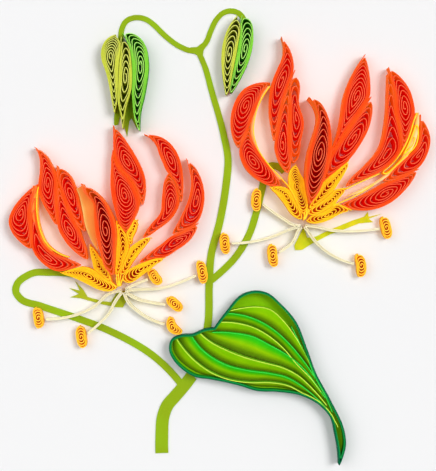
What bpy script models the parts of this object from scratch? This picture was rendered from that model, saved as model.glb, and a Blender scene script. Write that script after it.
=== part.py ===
"""Quilled paper sprig: two blooms, two buds and a leaf on a flat cut-paper stem.

Rolled strips stand on edge. Each is a coil pinched to a petal, drawn as two sides from tip to heel.
Drawings are in millimetres: blooms about their own centres, the rest about the foot of the stem.
"""
import bpy
import numpy as np

# Driving dimensions in millimetres.
METRE = 1000.0
SHEET = 0.3
GAP = 0.3
PAPER = 0.4
WALL = 0.55
PETAL_STRIP = 5.0
FRONT_STRIP = 10.0
YELLOW_STRIP = 5.0
BUD_STRIP = 5.0
LEAF_STRIP = 5.0
ANTHER_STRIP = 3.0
FILAMENT_STRIP = 3.0
FILAMENT_WIDTH = 0.7
ANTHER_WIDTH = 2.9
RIM_WIDTH = 0.6
VEIN_WIDTH = 0.5
ABOVE_SHEET = SHEET + GAP

# Places of the two blooms, from the foot of the stem.
LEFT_BLOOM = (-12.4, 48.9)
RIGHT_BLOOM = (42.6, 68.7)

# Fineness of the bodies.
SPLINE_STEPS = 12
FINE_STATIONS = 1000
PETAL_STATIONS = 7
SMALL_STATIONS = 4
TIP_STATIONS = 1
MOST_TURNS = 1.5
SMALL_TURNS = 1.0
TURN_STEP = 0.04
SETTLE_ROUNDS = 8
BAND_STEP = 3.5
VEIN_STEP = 6.0

# Paper colours: red, green, blue, roughness.
PAPERS = {
    "red_paper": (0.90, 0.11, 0.03, 0.75),
    "yellow_paper": (0.95, 0.55, 0.02, 0.75),
    "anther_paper": (0.95, 0.42, 0.04, 0.75),
    "cream_paper": (0.93, 0.84, 0.50, 0.75),
    "pistil_paper": (0.72, 0.68, 0.10, 0.80),
    "lime_paper": (0.30, 0.52, 0.03, 0.80),
    "pale_green_paper": (0.66, 0.72, 0.12, 0.75),
    "green_paper": (0.16, 0.55, 0.05, 0.75),
    "teal_paper": (0.0, 0.22, 0.09, 0.75),
}

# Each coil: tip, one side, heel, other side.
LEFT_PETALS = {
    "left_petal_1_outer": (
        (-24.5, 30.8),
        [(-28.8, 27.3), (-31.9, 23.4), (-33.2, 19.8), (-32.3, 16.6), (-30.0, 13.8)],
        (-26.4, 11.0),
        [(-26.0, 28.2), (-26.6, 25.3), (-27.0, 22.4), (-26.9, 18.9), (-26.7, 14.5)],
    ),
    "left_petal_1_inner": (
        (-24.6, 30.2),
        [(-26.2, 24.6), (-26.4, 17.7), (-25.8, 11.1), (-23.4, 7.5), (-18.6, 4.8), (-14.6, 5.7)],
        (-11.1, 6.5),
        [(-25.1, 25.7), (-25.0, 21.2), (-24.1, 16.6), (-22.2, 12.4), (-19.5, 10.1), (-15.3, 8.3)],
    ),
    "left_petal_2_outer": (
        (-25.6, 42.0),
        [(-23.9, 38.7), (-23.8, 35.1), (-24.0, 30.9), (-23.4, 26.1), (-21.0, 21.6)],
        (-18.8, 18.0),
        [(-21.9, 39.3), (-20.4, 36.6), (-19.2, 32.7), (-19.0, 29.1), (-19.2, 24.6), (-19.0, 20.7)],
    ),
    "left_petal_2_front": (
        (-18.9, 36.4),
        [(-18.3, 33.3), (-17.2, 29.1), (-15.4, 24.6), (-13.1, 20.1)],
        (-10.2, 15.9),
        [(-15.3, 34.0), (-12.9, 29.1), (-11.4, 22.5), (-10.6, 19.0)],
    ),
    "left_petal_2_middle": (
        (-18.5, 31.5),
        [(-18.8, 26.7), (-18.6, 21.6), (-18.0, 17.1), (-15.9, 13.2), (-12.9, 10.2)],
        (-9.6, 7.8),
        [(-17.0, 26.7), (-14.4, 21.0), (-11.9, 16.2), (-10.2, 11.7)],
    ),
    "left_petal_4_outer": (
        (-2.0, 48.4),
        [(-1.9, 45.6), (-1.6, 41.1), (-1.2, 38.6), (0.6, 35.1), (3.0, 33.0), (5.1, 29.7), (6.2, 26.5)],
        (6.6, 23.7),
        [(-0.2, 46.6), (2.5, 42.9), (5.1, 38.6), (7.3, 33.5), (7.7, 29.2)],
    ),
    "left_petal_4_inner": (
        (-2.1, 41.1),
        [(-2.5, 36.7), (-2.6, 28.7), (-1.9, 24.7), (-0.5, 20.6)],
        (1.8, 16.1),
        [(-1.5, 38.1), (0.4, 34.6), (2.8, 32.3), (5.4, 27.9), (5.7, 25.2), (4.1, 20.4)],
    ),
    "left_petal_5_outer": (
        (7.1, 45.8),
        [(8.6, 45.0), (10.8, 42.6), (11.9, 39.4), (14.2, 34.6), (16.8, 30.9), (17.9, 27.6)],
        (18.3, 24.6),
        [(10.2, 45.5), (12.9, 44.7), (15.3, 42.9), (17.2, 40.2), (18.8, 34.0), (18.9, 29.6)],
    ),
    "left_petal_5_inner": (
        (14.5, 33.9),
        [(13.4, 31.8), (12.9, 28.9), (12.6, 26.0), (12.2, 22.3), (9.1, 18.5)],
        (6.3, 14.1),
        [(16.3, 31.7), (17.5, 27.5), (17.4, 24.6), (15.2, 20.3), (13.0, 18.5), (9.1, 15.9)],
    ),
    "left_petal_6_upper": (
        (19.8, 38.6),
        [(20.7, 35.4), (21.4, 31.5), (20.7, 26.8), (18.3, 21.1)],
        (15.0, 15.3),
        [(21.2, 37.5), (23.1, 35.1), (25.2, 29.2), (25.2, 25.0), (23.4, 19.9), (19.1, 17.0)],
    ),
    "left_petal_6_lower": (
        (23.5, 19.2),
        [(18.6, 16.5), (15.2, 14.9), (13.0, 13.2), (9.9, 11.0), (6.8, 8.3)],
        (4.8, 6.5),
        [(22.9, 17.0), (21.4, 14.5), (16.8, 10.9), (13.7, 9.2), (9.9, 8.9), (7.4, 7.9)],
    ),
}
LEFT_FRONT = {
    "left_petal_3": (
        (-11.1, 30.8),
        [(-9.9, 27.9), (-7.3, 24.9), (-7.2, 22.0), (-6.8, 17.1), (-5.1, 10.0), (-3.7, 6.5)],
        (-1.5, 3.0),
        [(-8.8, 29.8), (-5.5, 27.2), (-2.3, 22.0), (-1.0, 16.3), (-1.5, 10.0)],
    ),
}
LEFT_YELLOWS = {
    "left_fill_1": (
        (-18.0, 4.4),
        [(-15.0, 3.4), (-12.0, 2.1), (-9.0, 0.6), (-6.0, -0.8), (-3.0, -1.2)],
        (-0.6, -0.1),
        [(-14.4, 5.4), (-10.5, 6.0), (-8.1, 5.1), (-3.6, 1.8)],
    ),
    "left_fill_2": (
        (-9.0, 12.9),
        [(-8.8, 10.8), (-8.2, 7.9), (-7.1, 5.0), (-5.1, 2.9)],
        (-2.4, 0.9),
        [(-6.5, 9.8), (-5.1, 7.2), (-3.7, 4.6)],
    ),
    "left_fill_3": (
        (-1.0, 19.9),
        [(-0.7, 15.6), (-0.9, 11.1), (-1.1, 6.6)],
        (-1.0, 2.7),
        [(0.0, 18.3), (2.0, 15.1), (2.5, 12.1), (1.2, 8.7), (0.2, 5.8)],
    ),
    "left_fill_4": (
        (5.4, 20.1),
        [(4.0, 19.6), (2.6, 17.5), (2.2, 15.1)],
        (3.0, 12.4),
        [(5.0, 17.2), (4.0, 15.1)],
    ),
    "left_fill_5": (
        (9.6, 14.8),
        [(6.9, 14.1), (3.9, 12.1), (2.6, 10.0), (0.9, 5.8)],
        (-0.1, 3.3),
        [(8.3, 13.2), (5.5, 9.6), (2.6, 5.9)],
    ),
    "left_fill_6": (
        (13.6, 8.8),
        [(11.2, 8.4), (8.3, 7.6), (4.0, 5.6), (2.0, 4.1)],
        (0.5, 2.2),
        [(12.7, 8.0), (9.1, 5.8), (5.5, 2.6), (3.3, 1.3)],
    ),
}
RIGHT_PETALS = {
    "right_petal_1_outer": (
        (-9.9, 41.2),
        [(-13.5, 41.2), (-18.0, 39.3), (-21.2, 34.0), (-21.9, 29.5), (-21.2, 25.0)],
        (-19.4, 21.4),
        [(-12.1, 39.0), (-13.3, 36.0), (-15.0, 31.5), (-16.5, 28.2), (-18.3, 25.0)],
    ),
    "right_petal_1_inner": (
        (-16.2, 27.8),
        [(-18.1, 24.5), (-19.0, 19.5), (-18.2, 17.0), (-15.0, 13.2), (-11.5, 11.2)],
        (-6.5, 10.5),
        [(-15.5, 24.5), (-14.2, 21.8), (-11.5, 18.0), (-8.5, 13.6)],
    ),
    "right_petal_2_outer": (
        (-6.8, 55.2),
        [(-6.1, 50.0), (-8.3, 44.5), (-10.1, 38.0), (-10.4, 32.5), (-9.5, 27.0)],
        (-8.8, 22.9),
        [(-4.0, 51.0), (-3.0, 46.5), (-4.8, 40.5), (-6.6, 35.0), (-7.8, 29.5), (-8.3, 26.0)],
    ),
    "right_petal_2_middle": (
        (-4.4, 40.2),
        [(-6.3, 35.0), (-7.5, 29.5), (-8.6, 22.0), (-7.6, 18.0)],
        (-4.5, 13.9),
        [(-4.5, 35.0), (-4.6, 30.0), (-4.4, 24.0), (-4.1, 19.0)],
    ),
    "right_petal_2_inner": (
        (-2.7, 45.2),
        [(-3.9, 40.0), (-4.2, 35.0), (-4.2, 29.0), (-4.0, 23.0), (-3.8, 19.0)],
        (-3.0, 16.4),
        [(-1.1, 41.0), (-1.4, 35.0), (0.1, 29.5), (-0.8, 24.0), (-1.6, 18.6)],
    ),
    "right_petal_4_outer": (
        (18.4, 49.9),
        [(15.0, 44.6), (12.0, 37.5), (10.9, 30.5), (9.4, 23.5)],
        (7.4, 18.0),
        [(19.2, 46.5), (19.9, 40.5), (19.6, 37.0), (17.8, 34.0), (13.6, 28.4), (10.2, 23.5)],
    ),
    "right_petal_4_inner": (
        (20.1, 37.2),
        [(18.2, 34.0), (14.0, 28.4), (10.4, 23.0), (8.2, 18.4), (6.5, 14.0)],
        (5.3, 11.3),
        [(20.6, 34.5), (19.9, 29.0), (16.6, 22.3), (13.6, 18.5), (9.0, 14.6)],
    ),
    "right_petal_5_outer": (
        (25.2, 46.0),
        [(26.4, 43.0), (27.4, 38.5), (27.6, 33.0), (28.8, 28.5), (29.4, 24.5)],
        (29.5, 21.4),
        [(29.0, 42.9), (31.4, 39.7), (33.0, 33.5), (31.9, 27.0)],
    ),
    "right_petal_5_inner": (
        (25.1, 44.0),
        [(25.0, 38.5), (24.3, 29.0), (22.6, 22.0), (17.7, 16.0), (14.2, 12.8)],
        (12.4, 9.9),
        [(27.0, 38.5), (27.4, 32.0), (29.0, 25.5), (28.6, 20.0), (25.5, 16.3), (19.5, 13.2), (15.0, 11.3)],
    ),
    "right_petal_6_upper": (
        (34.8, 31.9),
        [(35.0, 26.5), (34.2, 22.4), (30.8, 18.8), (26.8, 14.9)],
        (23.2, 11.4),
        [(36.3, 29.2), (37.9, 24.5), (37.0, 20.0), (34.5, 16.2), (30.0, 14.0), (25.5, 12.2)],
    ),
    "right_petal_6_lower": (
        (34.4, 15.6),
        [(30.0, 13.4), (25.5, 11.7), (21.8, 10.0), (16.0, 7.0)],
        (11.0, 4.9),
        [(32.8, 12.5), (30.3, 9.2), (25.3, 5.0), (20.0, 3.2), (14.5, 3.6)],
    ),
}
RIGHT_FRONT = {
    "right_petal_3": (
        (1.0, 36.6),
        [(3.0, 34.0), (3.9, 30.5), (2.8, 26.0), (0.9, 20.0), (0.4, 15.0), (0.9, 10.0)],
        (1.5, 4.5),
        [(3.9, 35.6), (6.6, 31.5), (7.9, 24.0), (6.7, 16.0), (4.4, 9.7)],
    ),
}
RIGHT_YELLOWS = {
    "right_fill_1": (
        (-10.2, 10.3),
        [(-8.0, 8.0), (-6.0, 5.5), (-3.0, 1.5)],
        (-0.4, 0.2),
        [(-8.0, 10.3), (-5.0, 9.4), (-2.0, 4.4)],
    ),
    "right_fill_2": (
        (-2.3, 17.0),
        [(-4.3, 13.2), (-4.0, 9.0), (-2.3, 5.2)],
        (0.0, 1.9),
        [(-1.4, 15.0), (-0.1, 11.5), (0.7, 7.0), (0.7, 4.0)],
    ),
    "right_fill_4": (
        (13.6, 18.3),
        [(10.5, 15.6), (6.3, 12.0), (4.5, 8.6), (2.5, 5.4)],
        (1.3, 3.4),
        [(13.2, 16.5), (11.2, 12.4), (8.0, 8.5), (4.5, 5.7)],
    ),
    "right_fill_5": (
        (12.8, 9.8),
        [(9.5, 9.0), (6.0, 6.4), (3.0, 4.1)],
        (0.9, 2.0),
        [(10.5, 6.6), (8.0, 4.3), (4.0, 2.4)],
    ),
    "right_fill_6": (
        (14.4, 3.2),
        [(9.5, 4.5), (6.0, 2.8), (2.8, 1.4)],
        (0.5, 0.0),
        [(11.0, 2.1), (7.0, 0.0), (3.0, -0.8)],
    ),
}
RIGHT_LOOP = {
    "right_fill_7": (
        (33.7, 32.5),
        [(32.9, 29.5), (31.2, 24.2), (29.0, 20.1), (25.4, 16.1), (22.5, 13.6)],
        (20.6, 11.4),
        [(34.4, 27.0), (33.6, 22.8), (30.0, 19.2), (26.6, 15.9), (23.4, 12.6)],
    ),
}
BUDS = {
    "left_bud_left": (
        (-13.6, 124.4),
        [(-15.5, 123.6), (-17.3, 121.6), (-18.0, 118.7), (-16.2, 112.1), (-15.0, 106.0)],
        (-14.0, 100.0),
        [(-12.6, 122.6), (-12.9, 114.3), (-13.3, 106.5)],
    ),
    "left_bud_middle": (
        (-12.0, 123.8),
        [(-12.3, 120.5), (-12.6, 114.0), (-12.8, 105.5), (-11.9, 98.9)],
        (-11.5, 94.9),
        [(-10.4, 121.8), (-9.1, 116.0), (-9.0, 109.9), (-10.7, 101.1)],
    ),
    "left_bud_right": (
        (-11.8, 124.9),
        [(-9.8, 122.2), (-8.8, 116.5), (-8.5, 107.0), (-8.1, 100.0)],
        (-6.2, 94.5),
        [(-8.6, 124.9), (-5.2, 122.3), (-3.8, 116.9), (-4.6, 108.5), (-6.4, 99.5)],
    ),
    "right_bud_left": (
        (22.7, 130.1),
        [(20.2, 126.6), (18.4, 121.6), (18.0, 116.3), (18.6, 110.5)],
        (19.4, 105.5),
        [(23.4, 127.0), (22.7, 121.1), (21.0, 112.5)],
    ),
    "right_bud_right": (
        (24.0, 130.2),
        [(23.8, 126.0), (22.7, 119.0), (21.3, 112.0)],
        (20.6, 106.1),
        [(26.4, 129.0), (27.6, 123.5), (26.4, 117.2), (23.4, 110.8)],
    ),
}
PALE_BUDS = ("left_bud_left", "left_bud_middle", "right_bud_left")

# Anthers: the two ends of each coil and how far its middle bows to the right of that line.
LEFT_ANTHERS = {
    "left_anther_1": ((9.2, 5.0), (12.1, 1.0), 0.3),
    "left_anther_2": ((23.8, 8.0), (25.1, 1.0), -0.2),
    "left_anther_3": ((14.2, -3.2), (18.4, -7.0), 0.0),
    "left_anther_4": ((15.0, -8.9), (18.4, -13.9), 1.3),
    "left_anther_5": ((-12.0, -11.7), (-11.1, -18.3), 0.2),
    "left_anther_6": ((-25.2, -6.2), (-24.3, -12.4), -0.2),
}
RIGHT_ANTHERS = {
    "right_anther_1": ((-13.7, 9.8), (-14.0, 2.9), 0.3),
    "right_anther_2": ((-23.7, -3.5), (-23.1, -9.9), 0.2),
    "right_anther_3": ((-9.4, -6.9), (-8.6, -13.8), 0.2),
    "right_anther_4": ((16.4, -9.9), (17.2, -16.9), -0.7),
    "right_anther_5": ((24.0, 1.3), (25.5, -5.3), -0.2),
}

# Filaments: routes from the heart of the bloom to the anther.
LEFT_HEART = (1.0, -1.1)
LEFT_ROUTES = {
    "left_anther_1": [(5.0, 1.0), (11.0, 3.0)],
    "left_anther_2": [(6.6, -0.7), (12.3, -0.4), (18.1, 1.4), (24.2, 4.2)],
    "left_anther_3": [(5.6, -3.8), (9.4, -4.7), (16.0, -5.5)],
    "left_anther_4": [(2.7, -5.0), (5.6, -7.6), (9.4, -9.9), (15.6, -11.6)],
    "left_anther_5": [(-1.9, -5.0), (-3.0, -7.3), (-6.2, -10.9), (-11.6, -15.2)],
    "left_anther_6": [(-3.0, -1.9), (-8.1, -6.1), (-13.9, -8.6), (-19.6, -9.6), (-24.8, -9.6)],
}
RIGHT_HEART = (-0.1, -1.4)
RIGHT_ROUTES = {
    "right_anther_1": [(-3.6, -0.9), (-5.5, 0.3), (-9.8, 3.2), (-14.0, 6.6)],
    "right_anther_2": [(-3.3, -2.3), (-9.6, -4.8), (-16.0, -6.3), (-23.5, -6.6)],
    "right_anther_3": [(-1.2, -2.5), (-3.3, -6.5), (-6.0, -8.6), (-9.0, -10.4)],
    "right_anther_4": [(0.9, -2.5), (3.9, -6.5), (9.4, -10.7), (17.2, -13.2)],
    "right_anther_5": [(2.3, -1.5), (9.4, -2.9), (15.8, -3.0), (25.0, -2.0)],
}

# Pistils: flat cut outlines, from the ovary round the forked end and back.
LEFT_PISTIL = [
    (1.5, -1.2), (2.1, -3.6), (0.6, -6.3), (-1.5, -6.2), (-6.2, -5.2), (-12.2, -3.5), (-15.4, -3.2),
    (-12.7, -2.2), (-15.7, -0.4), (-12.4, -1.2), (-13.8, 1.6), (-11.4, -0.9), (-10.0, -3.1),
    (-5.8, -4.3), (-3.0, -4.7), (-1.6, -2.4), (-0.8, -1.4),
]
RIGHT_PISTIL = [
    (0.1, -2.1), (-1.2, -4.6), (-2.6, -7.4), (-2.3, -8.8), (-0.2, -8.7), (2.6, -6.9), (8.3, -4.0),
    (13.0, -2.3), (17.0, -0.7), (21.2, -0.3), (19.9, 0.7), (23.9, 2.2), (19.9, 1.3), (19.6, 2.8),
    (18.6, 1.4), (15.0, 0.2), (7.5, -2.9), (3.8, -4.7), (1.3, -5.0), (0.8, -3.5),
]

# Stem: centre lines of its branches, each with its width at both ends.
STEM = {
    "main": ((2.3, 2.2), [
        (8.2, 20.5), (11.6, 28.6), (13.8, 36.8), (14.3, 49.5), (14.9, 58.5), (17.5, 68.5), (20.0, 85.5),
    ]),
    "foot": ((3.9, 3.6), [
        (0.0, -1.4), (0.0, 4.5), (0.3, 9.2), (1.6, 12.9), (4.2, 16.0), (6.7, 18.9), (9.0, 22.0),
    ]),
    "top": ((2.2, 1.6), [
        (19.8, 83.0), (20.0, 87.0), (18.6, 95.0), (14.9, 108.5), (12.9, 115.6), (10.9, 120.0),
    ]),
    "left_branch": ((2.1, 2.1), [
        (6.0, 19.2), (-0.9, 26.6), (-15.9, 35.6), (-26.0, 39.5), (-36.7, 43.1), (-42.9, 45.4),
        (-44.2, 47.5), (-43.6, 49.9), (-41.3, 51.9), (-38.6, 53.1), (-34.4, 53.2), (-29.0, 53.0),
        (-24.5, 52.2),
    ]),
    "pedicel": ((2.1, 2.1), [
        (14.6, 50.6), (18.4, 53.8), (22.4, 58.0), (26.2, 64.3), (28.7, 71.9), (30.4, 79.1),
        (31.2, 83.3), (32.8, 85.4), (35.0, 85.2), (37.0, 83.6),
    ]),
    "left_stalk": ((1.6, 1.6), [
        (11.2, 120.1), (8.2, 120.3), (5.5, 121.4), (2.5, 123.4), (0.0, 125.6), (-2.2, 127.8),
        (-4.9, 129.7), (-8.0, 130.2), (-10.7, 129.2), (-12.0, 127.1), (-12.4, 124.6), (-12.2, 120.0),
    ]),
    "right_stalk": ((1.6, 1.6), [
        (10.6, 119.8), (13.6, 123.1), (14.8, 126.2), (16.5, 129.6), (18.7, 131.7), (21.0, 132.2),
        (23.3, 131.5), (24.8, 129.6), (25.2, 126.0),
    ]),
}

# Backing of the left bud, cut in one with the stem: down one side to three points and back up.
BUD_BACK = [
    (-13.2, 120.8), (-13.7, 108.8), (-14.5, 99.6), (-14.4, 97.6), (-13.2, 97.8), (-12.7, 100.3),
    (-11.7, 98.6), (-10.5, 94.2), (-9.8, 98.8), (-9.2, 99.8), (-7.5, 96.3), (-8.0, 106.5), (-9.5, 120.8),
]

# Leaf: tip, one side, notch beside the stem, other side.
LEAF = (
    (53.0, -4.9),
    [(54.4, -1.6), (55.2, 2.0), (54.9, 5.2), (50.4, 15.6), (46.3, 23.2), (43.6, 30.5), (40.0, 39.1),
     (35.9, 43.8), (31.6, 47.2), (28.0, 47.8), (24.6, 46.9), (19.2, 41.3)],
    (15.8, 36.7),
    [(52.7, 0.3), (51.9, 4.7), (50.6, 9.7), (47.6, 13.3), (41.8, 16.5), (35.0, 17.6), (28.2, 18.0),
     (23.7, 19.4), (19.2, 20.5), (14.6, 21.4), (10.1, 22.1), (6.5, 24.2), (3.8, 26.9), (2.3, 30.2),
     (2.9, 33.2), (5.8, 34.6), (9.7, 35.0), (12.6, 36.3)],
)
VEINS = [
    [(19.6, 41.2), (28.4, 42.9), (34.0, 40.5), (38.6, 34.5), (43.6, 25.5), (50.4, 12.6)],
    [(18.8, 39.9), (25.0, 40.0), (31.0, 37.5), (38.5, 30.0), (43.6, 23.0)],
    [(17.5, 38.0), (23.5, 37.3), (31.0, 33.9), (38.5, 28.4), (45.0, 19.5), (48.0, 15.2)],
    [(16.6, 35.1), (23.5, 33.9), (30.0, 32.1), (37.0, 27.6), (43.0, 20.6)],
    [(13.0, 35.0), (16.0, 33.0), (25.0, 28.5), (34.0, 26.1), (41.5, 21.2), (46.4, 16.2)],
    [(9.6, 33.4), (13.6, 28.5), (19.0, 25.5), (28.0, 23.7), (37.0, 21.8), (44.2, 16.9)],
    [(4.8, 33.0), (8.5, 27.6), (15.1, 24.2), (25.0, 21.6), (35.5, 20.0), (42.5, 17.0)],
]


def clear_scene():
    for item in list(bpy.data.objects):
        bpy.data.objects.remove(item, do_unlink=True)


def paper_material(slot):
    red, green, blue, roughness = PAPERS[slot]
    material = bpy.data.materials.get(slot) or bpy.data.materials.new(slot)
    material.use_nodes = True
    shader = material.node_tree.nodes["Principled BSDF"]
    shader.inputs["Base Color"].default_value = (red, green, blue, 1.0)
    shader.inputs["Roughness"].default_value = roughness
    shader.inputs["Metallic"].default_value = 0.0
    return material


def smooth_line(points):
    """Passes a curve through the points, its slope at each set by the two neighbours."""
    points = np.asarray(points, float)
    if len(points) == 2:
        return points
    reach = np.linalg.norm(np.diff(points, axis=0), axis=1)
    slope = np.diff(points, axis=0) / reach[:, None]
    middle = (slope[:-1] * reach[1:, None] + slope[1:] * reach[:-1, None]) / (reach[:-1] + reach[1:])[:, None]
    tangent = np.vstack([2 * slope[0] - middle[0], middle, 2 * slope[-1] - middle[-1]])
    t = np.linspace(0.0, 1.0, SPLINE_STEPS, endpoint=False)[None, :, None]
    start, end = points[:-1, None, :], points[1:, None, :]
    away = tangent[:-1, None, :] * reach[:, None, None]
    home = tangent[1:, None, :] * reach[:, None, None]
    curve = (start * (2 * t**3 - 3 * t**2 + 1) + away * (t**3 - 2 * t**2 + t)
             + end * (3 * t**2 - 2 * t**3) + home * (t**3 - t**2))
    return np.vstack([curve.reshape(-1, 2), points[-1]])


def lengths_along(line):
    return np.concatenate([[0.0], np.cumsum(np.linalg.norm(np.diff(line, axis=0), axis=1))])


def points_at(line, shares):
    """Points of a line at the given shares of its length."""
    along = lengths_along(line)
    wanted = np.asarray(shares) * along[-1]
    return np.stack([np.interp(wanted, along, line[:, axis]) for axis in (0, 1)], axis=1)


def signed_area(points):
    x, y = np.asarray(points).T
    return 0.5 * np.sum(x * np.roll(y, -1) - y * np.roll(x, -1))


def standing_body(name, points, faces, base, height, slot):
    """Closed body over a flat net of faces, from one level to another."""
    used, corners = np.unique(np.concatenate([list(face) for face in faces]), return_inverse=True)
    points = np.asarray(points, float)[used]
    faces = np.split(corners, np.cumsum([len(face) for face in faces])[:-1])
    faces = [list(face) if signed_area(points[face]) > 0 else list(face)[::-1] for face in faces]
    count = len(points)
    edges = {(face[i - 1], face[i]) for face in faces for i in range(len(face))}
    walls = [(a, b, b + count, a + count) for a, b in sorted(edges) if (b, a) not in edges]
    lids = [[corner + count for corner in face] for face in faces]
    floors = [face[::-1] for face in faces]
    low = np.column_stack([points, np.full(count, base)])
    high = np.column_stack([points, np.full(count, base + height)])
    mesh = bpy.data.meshes.new(name)
    mesh.from_pydata((np.vstack([low, high]) / METRE).tolist(), [], floors + lids + walls)
    mesh.validate()
    body = bpy.data.objects.new(name, mesh)
    bpy.context.scene.collection.objects.link(body)
    body.data.materials.append(paper_material(slot))
    return body


def band_net(centre, width):
    """Flat strip along a line of points, of one width or a width at each: corners and faces."""
    slope = np.gradient(centre, axis=0)
    slope /= np.linalg.norm(slope, axis=1)[:, None]
    aside = np.column_stack([-slope[:, 1], slope[:, 0]]) * np.reshape(width, (-1, 1)) / 2
    count = len(centre)
    points = np.vstack([centre + aside, centre - aside])
    faces = [(i, i + 1, i + 1 + count, i + count) for i in range(count - 1)]
    return points, faces


def strip_centre(points):
    line = smooth_line(points)
    steps = max(1, round(lengths_along(line)[-1] / BAND_STEP))
    return points_at(line, np.linspace(0.0, 1.0, steps + 1))


def nearest_on(points, outline):
    """For each point: its nearest point on a closed outline, their distance and whether it is inside."""
    start = outline
    run = np.roll(outline, -1, axis=0) - start
    away = points[:, None, :] - start[None, :, :]
    share = np.clip((away * run).sum(2) / np.maximum((run * run).sum(1), 1e-9), 0.0, 1.0)
    foot = start + share[:, :, None] * run
    distance = np.linalg.norm(points[:, None, :] - foot, axis=2)
    best = distance.argmin(axis=1)
    rows = np.arange(len(points))
    rising = (start[:, 1] > points[:, None, 1]) != ((start + run)[:, 1] > points[:, None, 1])
    level = (points[:, None, 1] - start[:, 1]) / np.where(run[:, 1] == 0, 1e-9, run[:, 1])
    crossing = rising & (points[:, None, 0] < start[:, 0] + level * run[:, 0])
    return foot[rows, best], distance[rows, best], crossing.sum(axis=1) % 2 == 1, best


def pushed_clear(outline, other):
    """Moves an outline's points until neither its points nor its edges come nearer than the gap."""
    foot, distance, inside, _ = nearest_on(outline, other)
    signed = np.where(inside, -distance, distance)
    close = signed < GAP
    away = np.where(inside[:, None], foot - outline, outline - foot)
    away /= np.maximum(np.linalg.norm(away, axis=1), 1e-6)[:, None]
    outline = np.where(close[:, None], outline + away * (GAP - signed)[:, None], outline)
    foot, distance, inside, edge = nearest_on(other, outline)
    signed = np.where(inside, -distance, distance)
    for corner in np.flatnonzero(signed < GAP):
        away = (foot[corner] - other[corner]) * (-1 if inside[corner] else 1)
        away /= max(np.linalg.norm(away), 1e-6)
        for end in (edge[corner], (edge[corner] + 1) % len(outline)):
            outline[end] += away * (GAP - signed[corner])
    return outline


def settled(outline, placed):
    """Lets a coil give way to those laid before it."""
    for _ in range(SETTLE_ROUNDS):
        for other in placed:
            apart = np.maximum(outline.min(0) - other.max(0), other.min(0) - outline.max(0)).max()
            if apart < GAP:
                outline = pushed_clear(outline, other)
    return outline


def coil_sides(coil, origin, stations):
    """Two sides of a coil from tip to heel, each with the same number of points."""
    tip, side, heel, other = coil
    shares = np.linspace(0.0, 1.0, stations + 2 * TIP_STATIONS + 1)
    lines = [points_at(smooth_line([tip, *line, heel]), shares) + origin for line in (side, other)]
    return lines


def settled_sides(lines, placed):
    left, right = lines
    outline = settled(np.vstack([left, right[-2:0:-1]]), placed)
    placed.append(outline)
    count = len(left)
    return outline[:count], np.vstack([outline[0], outline[:count - 2:-1]])


def open_run(share, half, room):
    """First and last share of the length, about the widest place, where the half width leaves the room."""
    widest = half.argmax()
    if half[widest] < room:
        return None
    shut = np.flatnonzero(half < room)
    return share[shut[shut < widest].max() + 1], share[shut[shut > widest].min() - 1]


def arm_edges(share, half, span, marks, most_turns):
    """Both edges of the inner turns, as shares of the length and distances aside of the middle.

    The strip runs down one side and back up the other, one pitch further in at each turn. Where a side
    leaves no room inside the turn, its inner edge waits at the turn's end.
    """
    pitch = PAPER + GAP
    levels = (WALL + GAP, WALL + GAP + PAPER)
    pairs = []
    lined = []
    for run in range(round(2 * most_turns)):
        ends = [open_run(share, half, level + pitch * (run + 1) / 2) for level in levels]
        if None in ends:
            break
        if lined:
            start = max(min(line) for line in lined)
            stop = min(max(line) for line in lined) if run > 1 else 1.0
            ends = [(max(end[0], start + step), min(end[1], stop - step))
                    for end, step in zip(ends, (0.0, TURN_STEP))]
        back = run % 2
        way = -1.0 if back else 1.0
        waiting = pairs[-1][1] if pairs else None
        line = []
        for mark in marks[::-1] if back else marks:
            done = (mark - span[0]) / (span[1] - span[0])
            turn = (run + (1.0 - done if back else done)) / 2
            outer, inner = [np.interp(mark, share, half) - level - pitch * turn for level in levels]
            if ends[1][0] < mark < ends[1][1] and inner > GAP / 2:
                pairs.append(((mark, way * outer), (mark, way * inner)))
                waiting = (ends[1][1 - back], 0.0)
                line.append(mark)
            elif waiting is None:
                pairs.append(((mark, PAPER / 2), (mark, -PAPER / 2)))
            elif ends[0][0] < mark < ends[0][1] and outer > GAP / 2:
                pairs.append(((mark, way * outer), waiting))
        pairs.append([(end[1 - back], 0.0) for end in ends])
        if not line:
            break
        lined.append(line)
    return pairs


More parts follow.
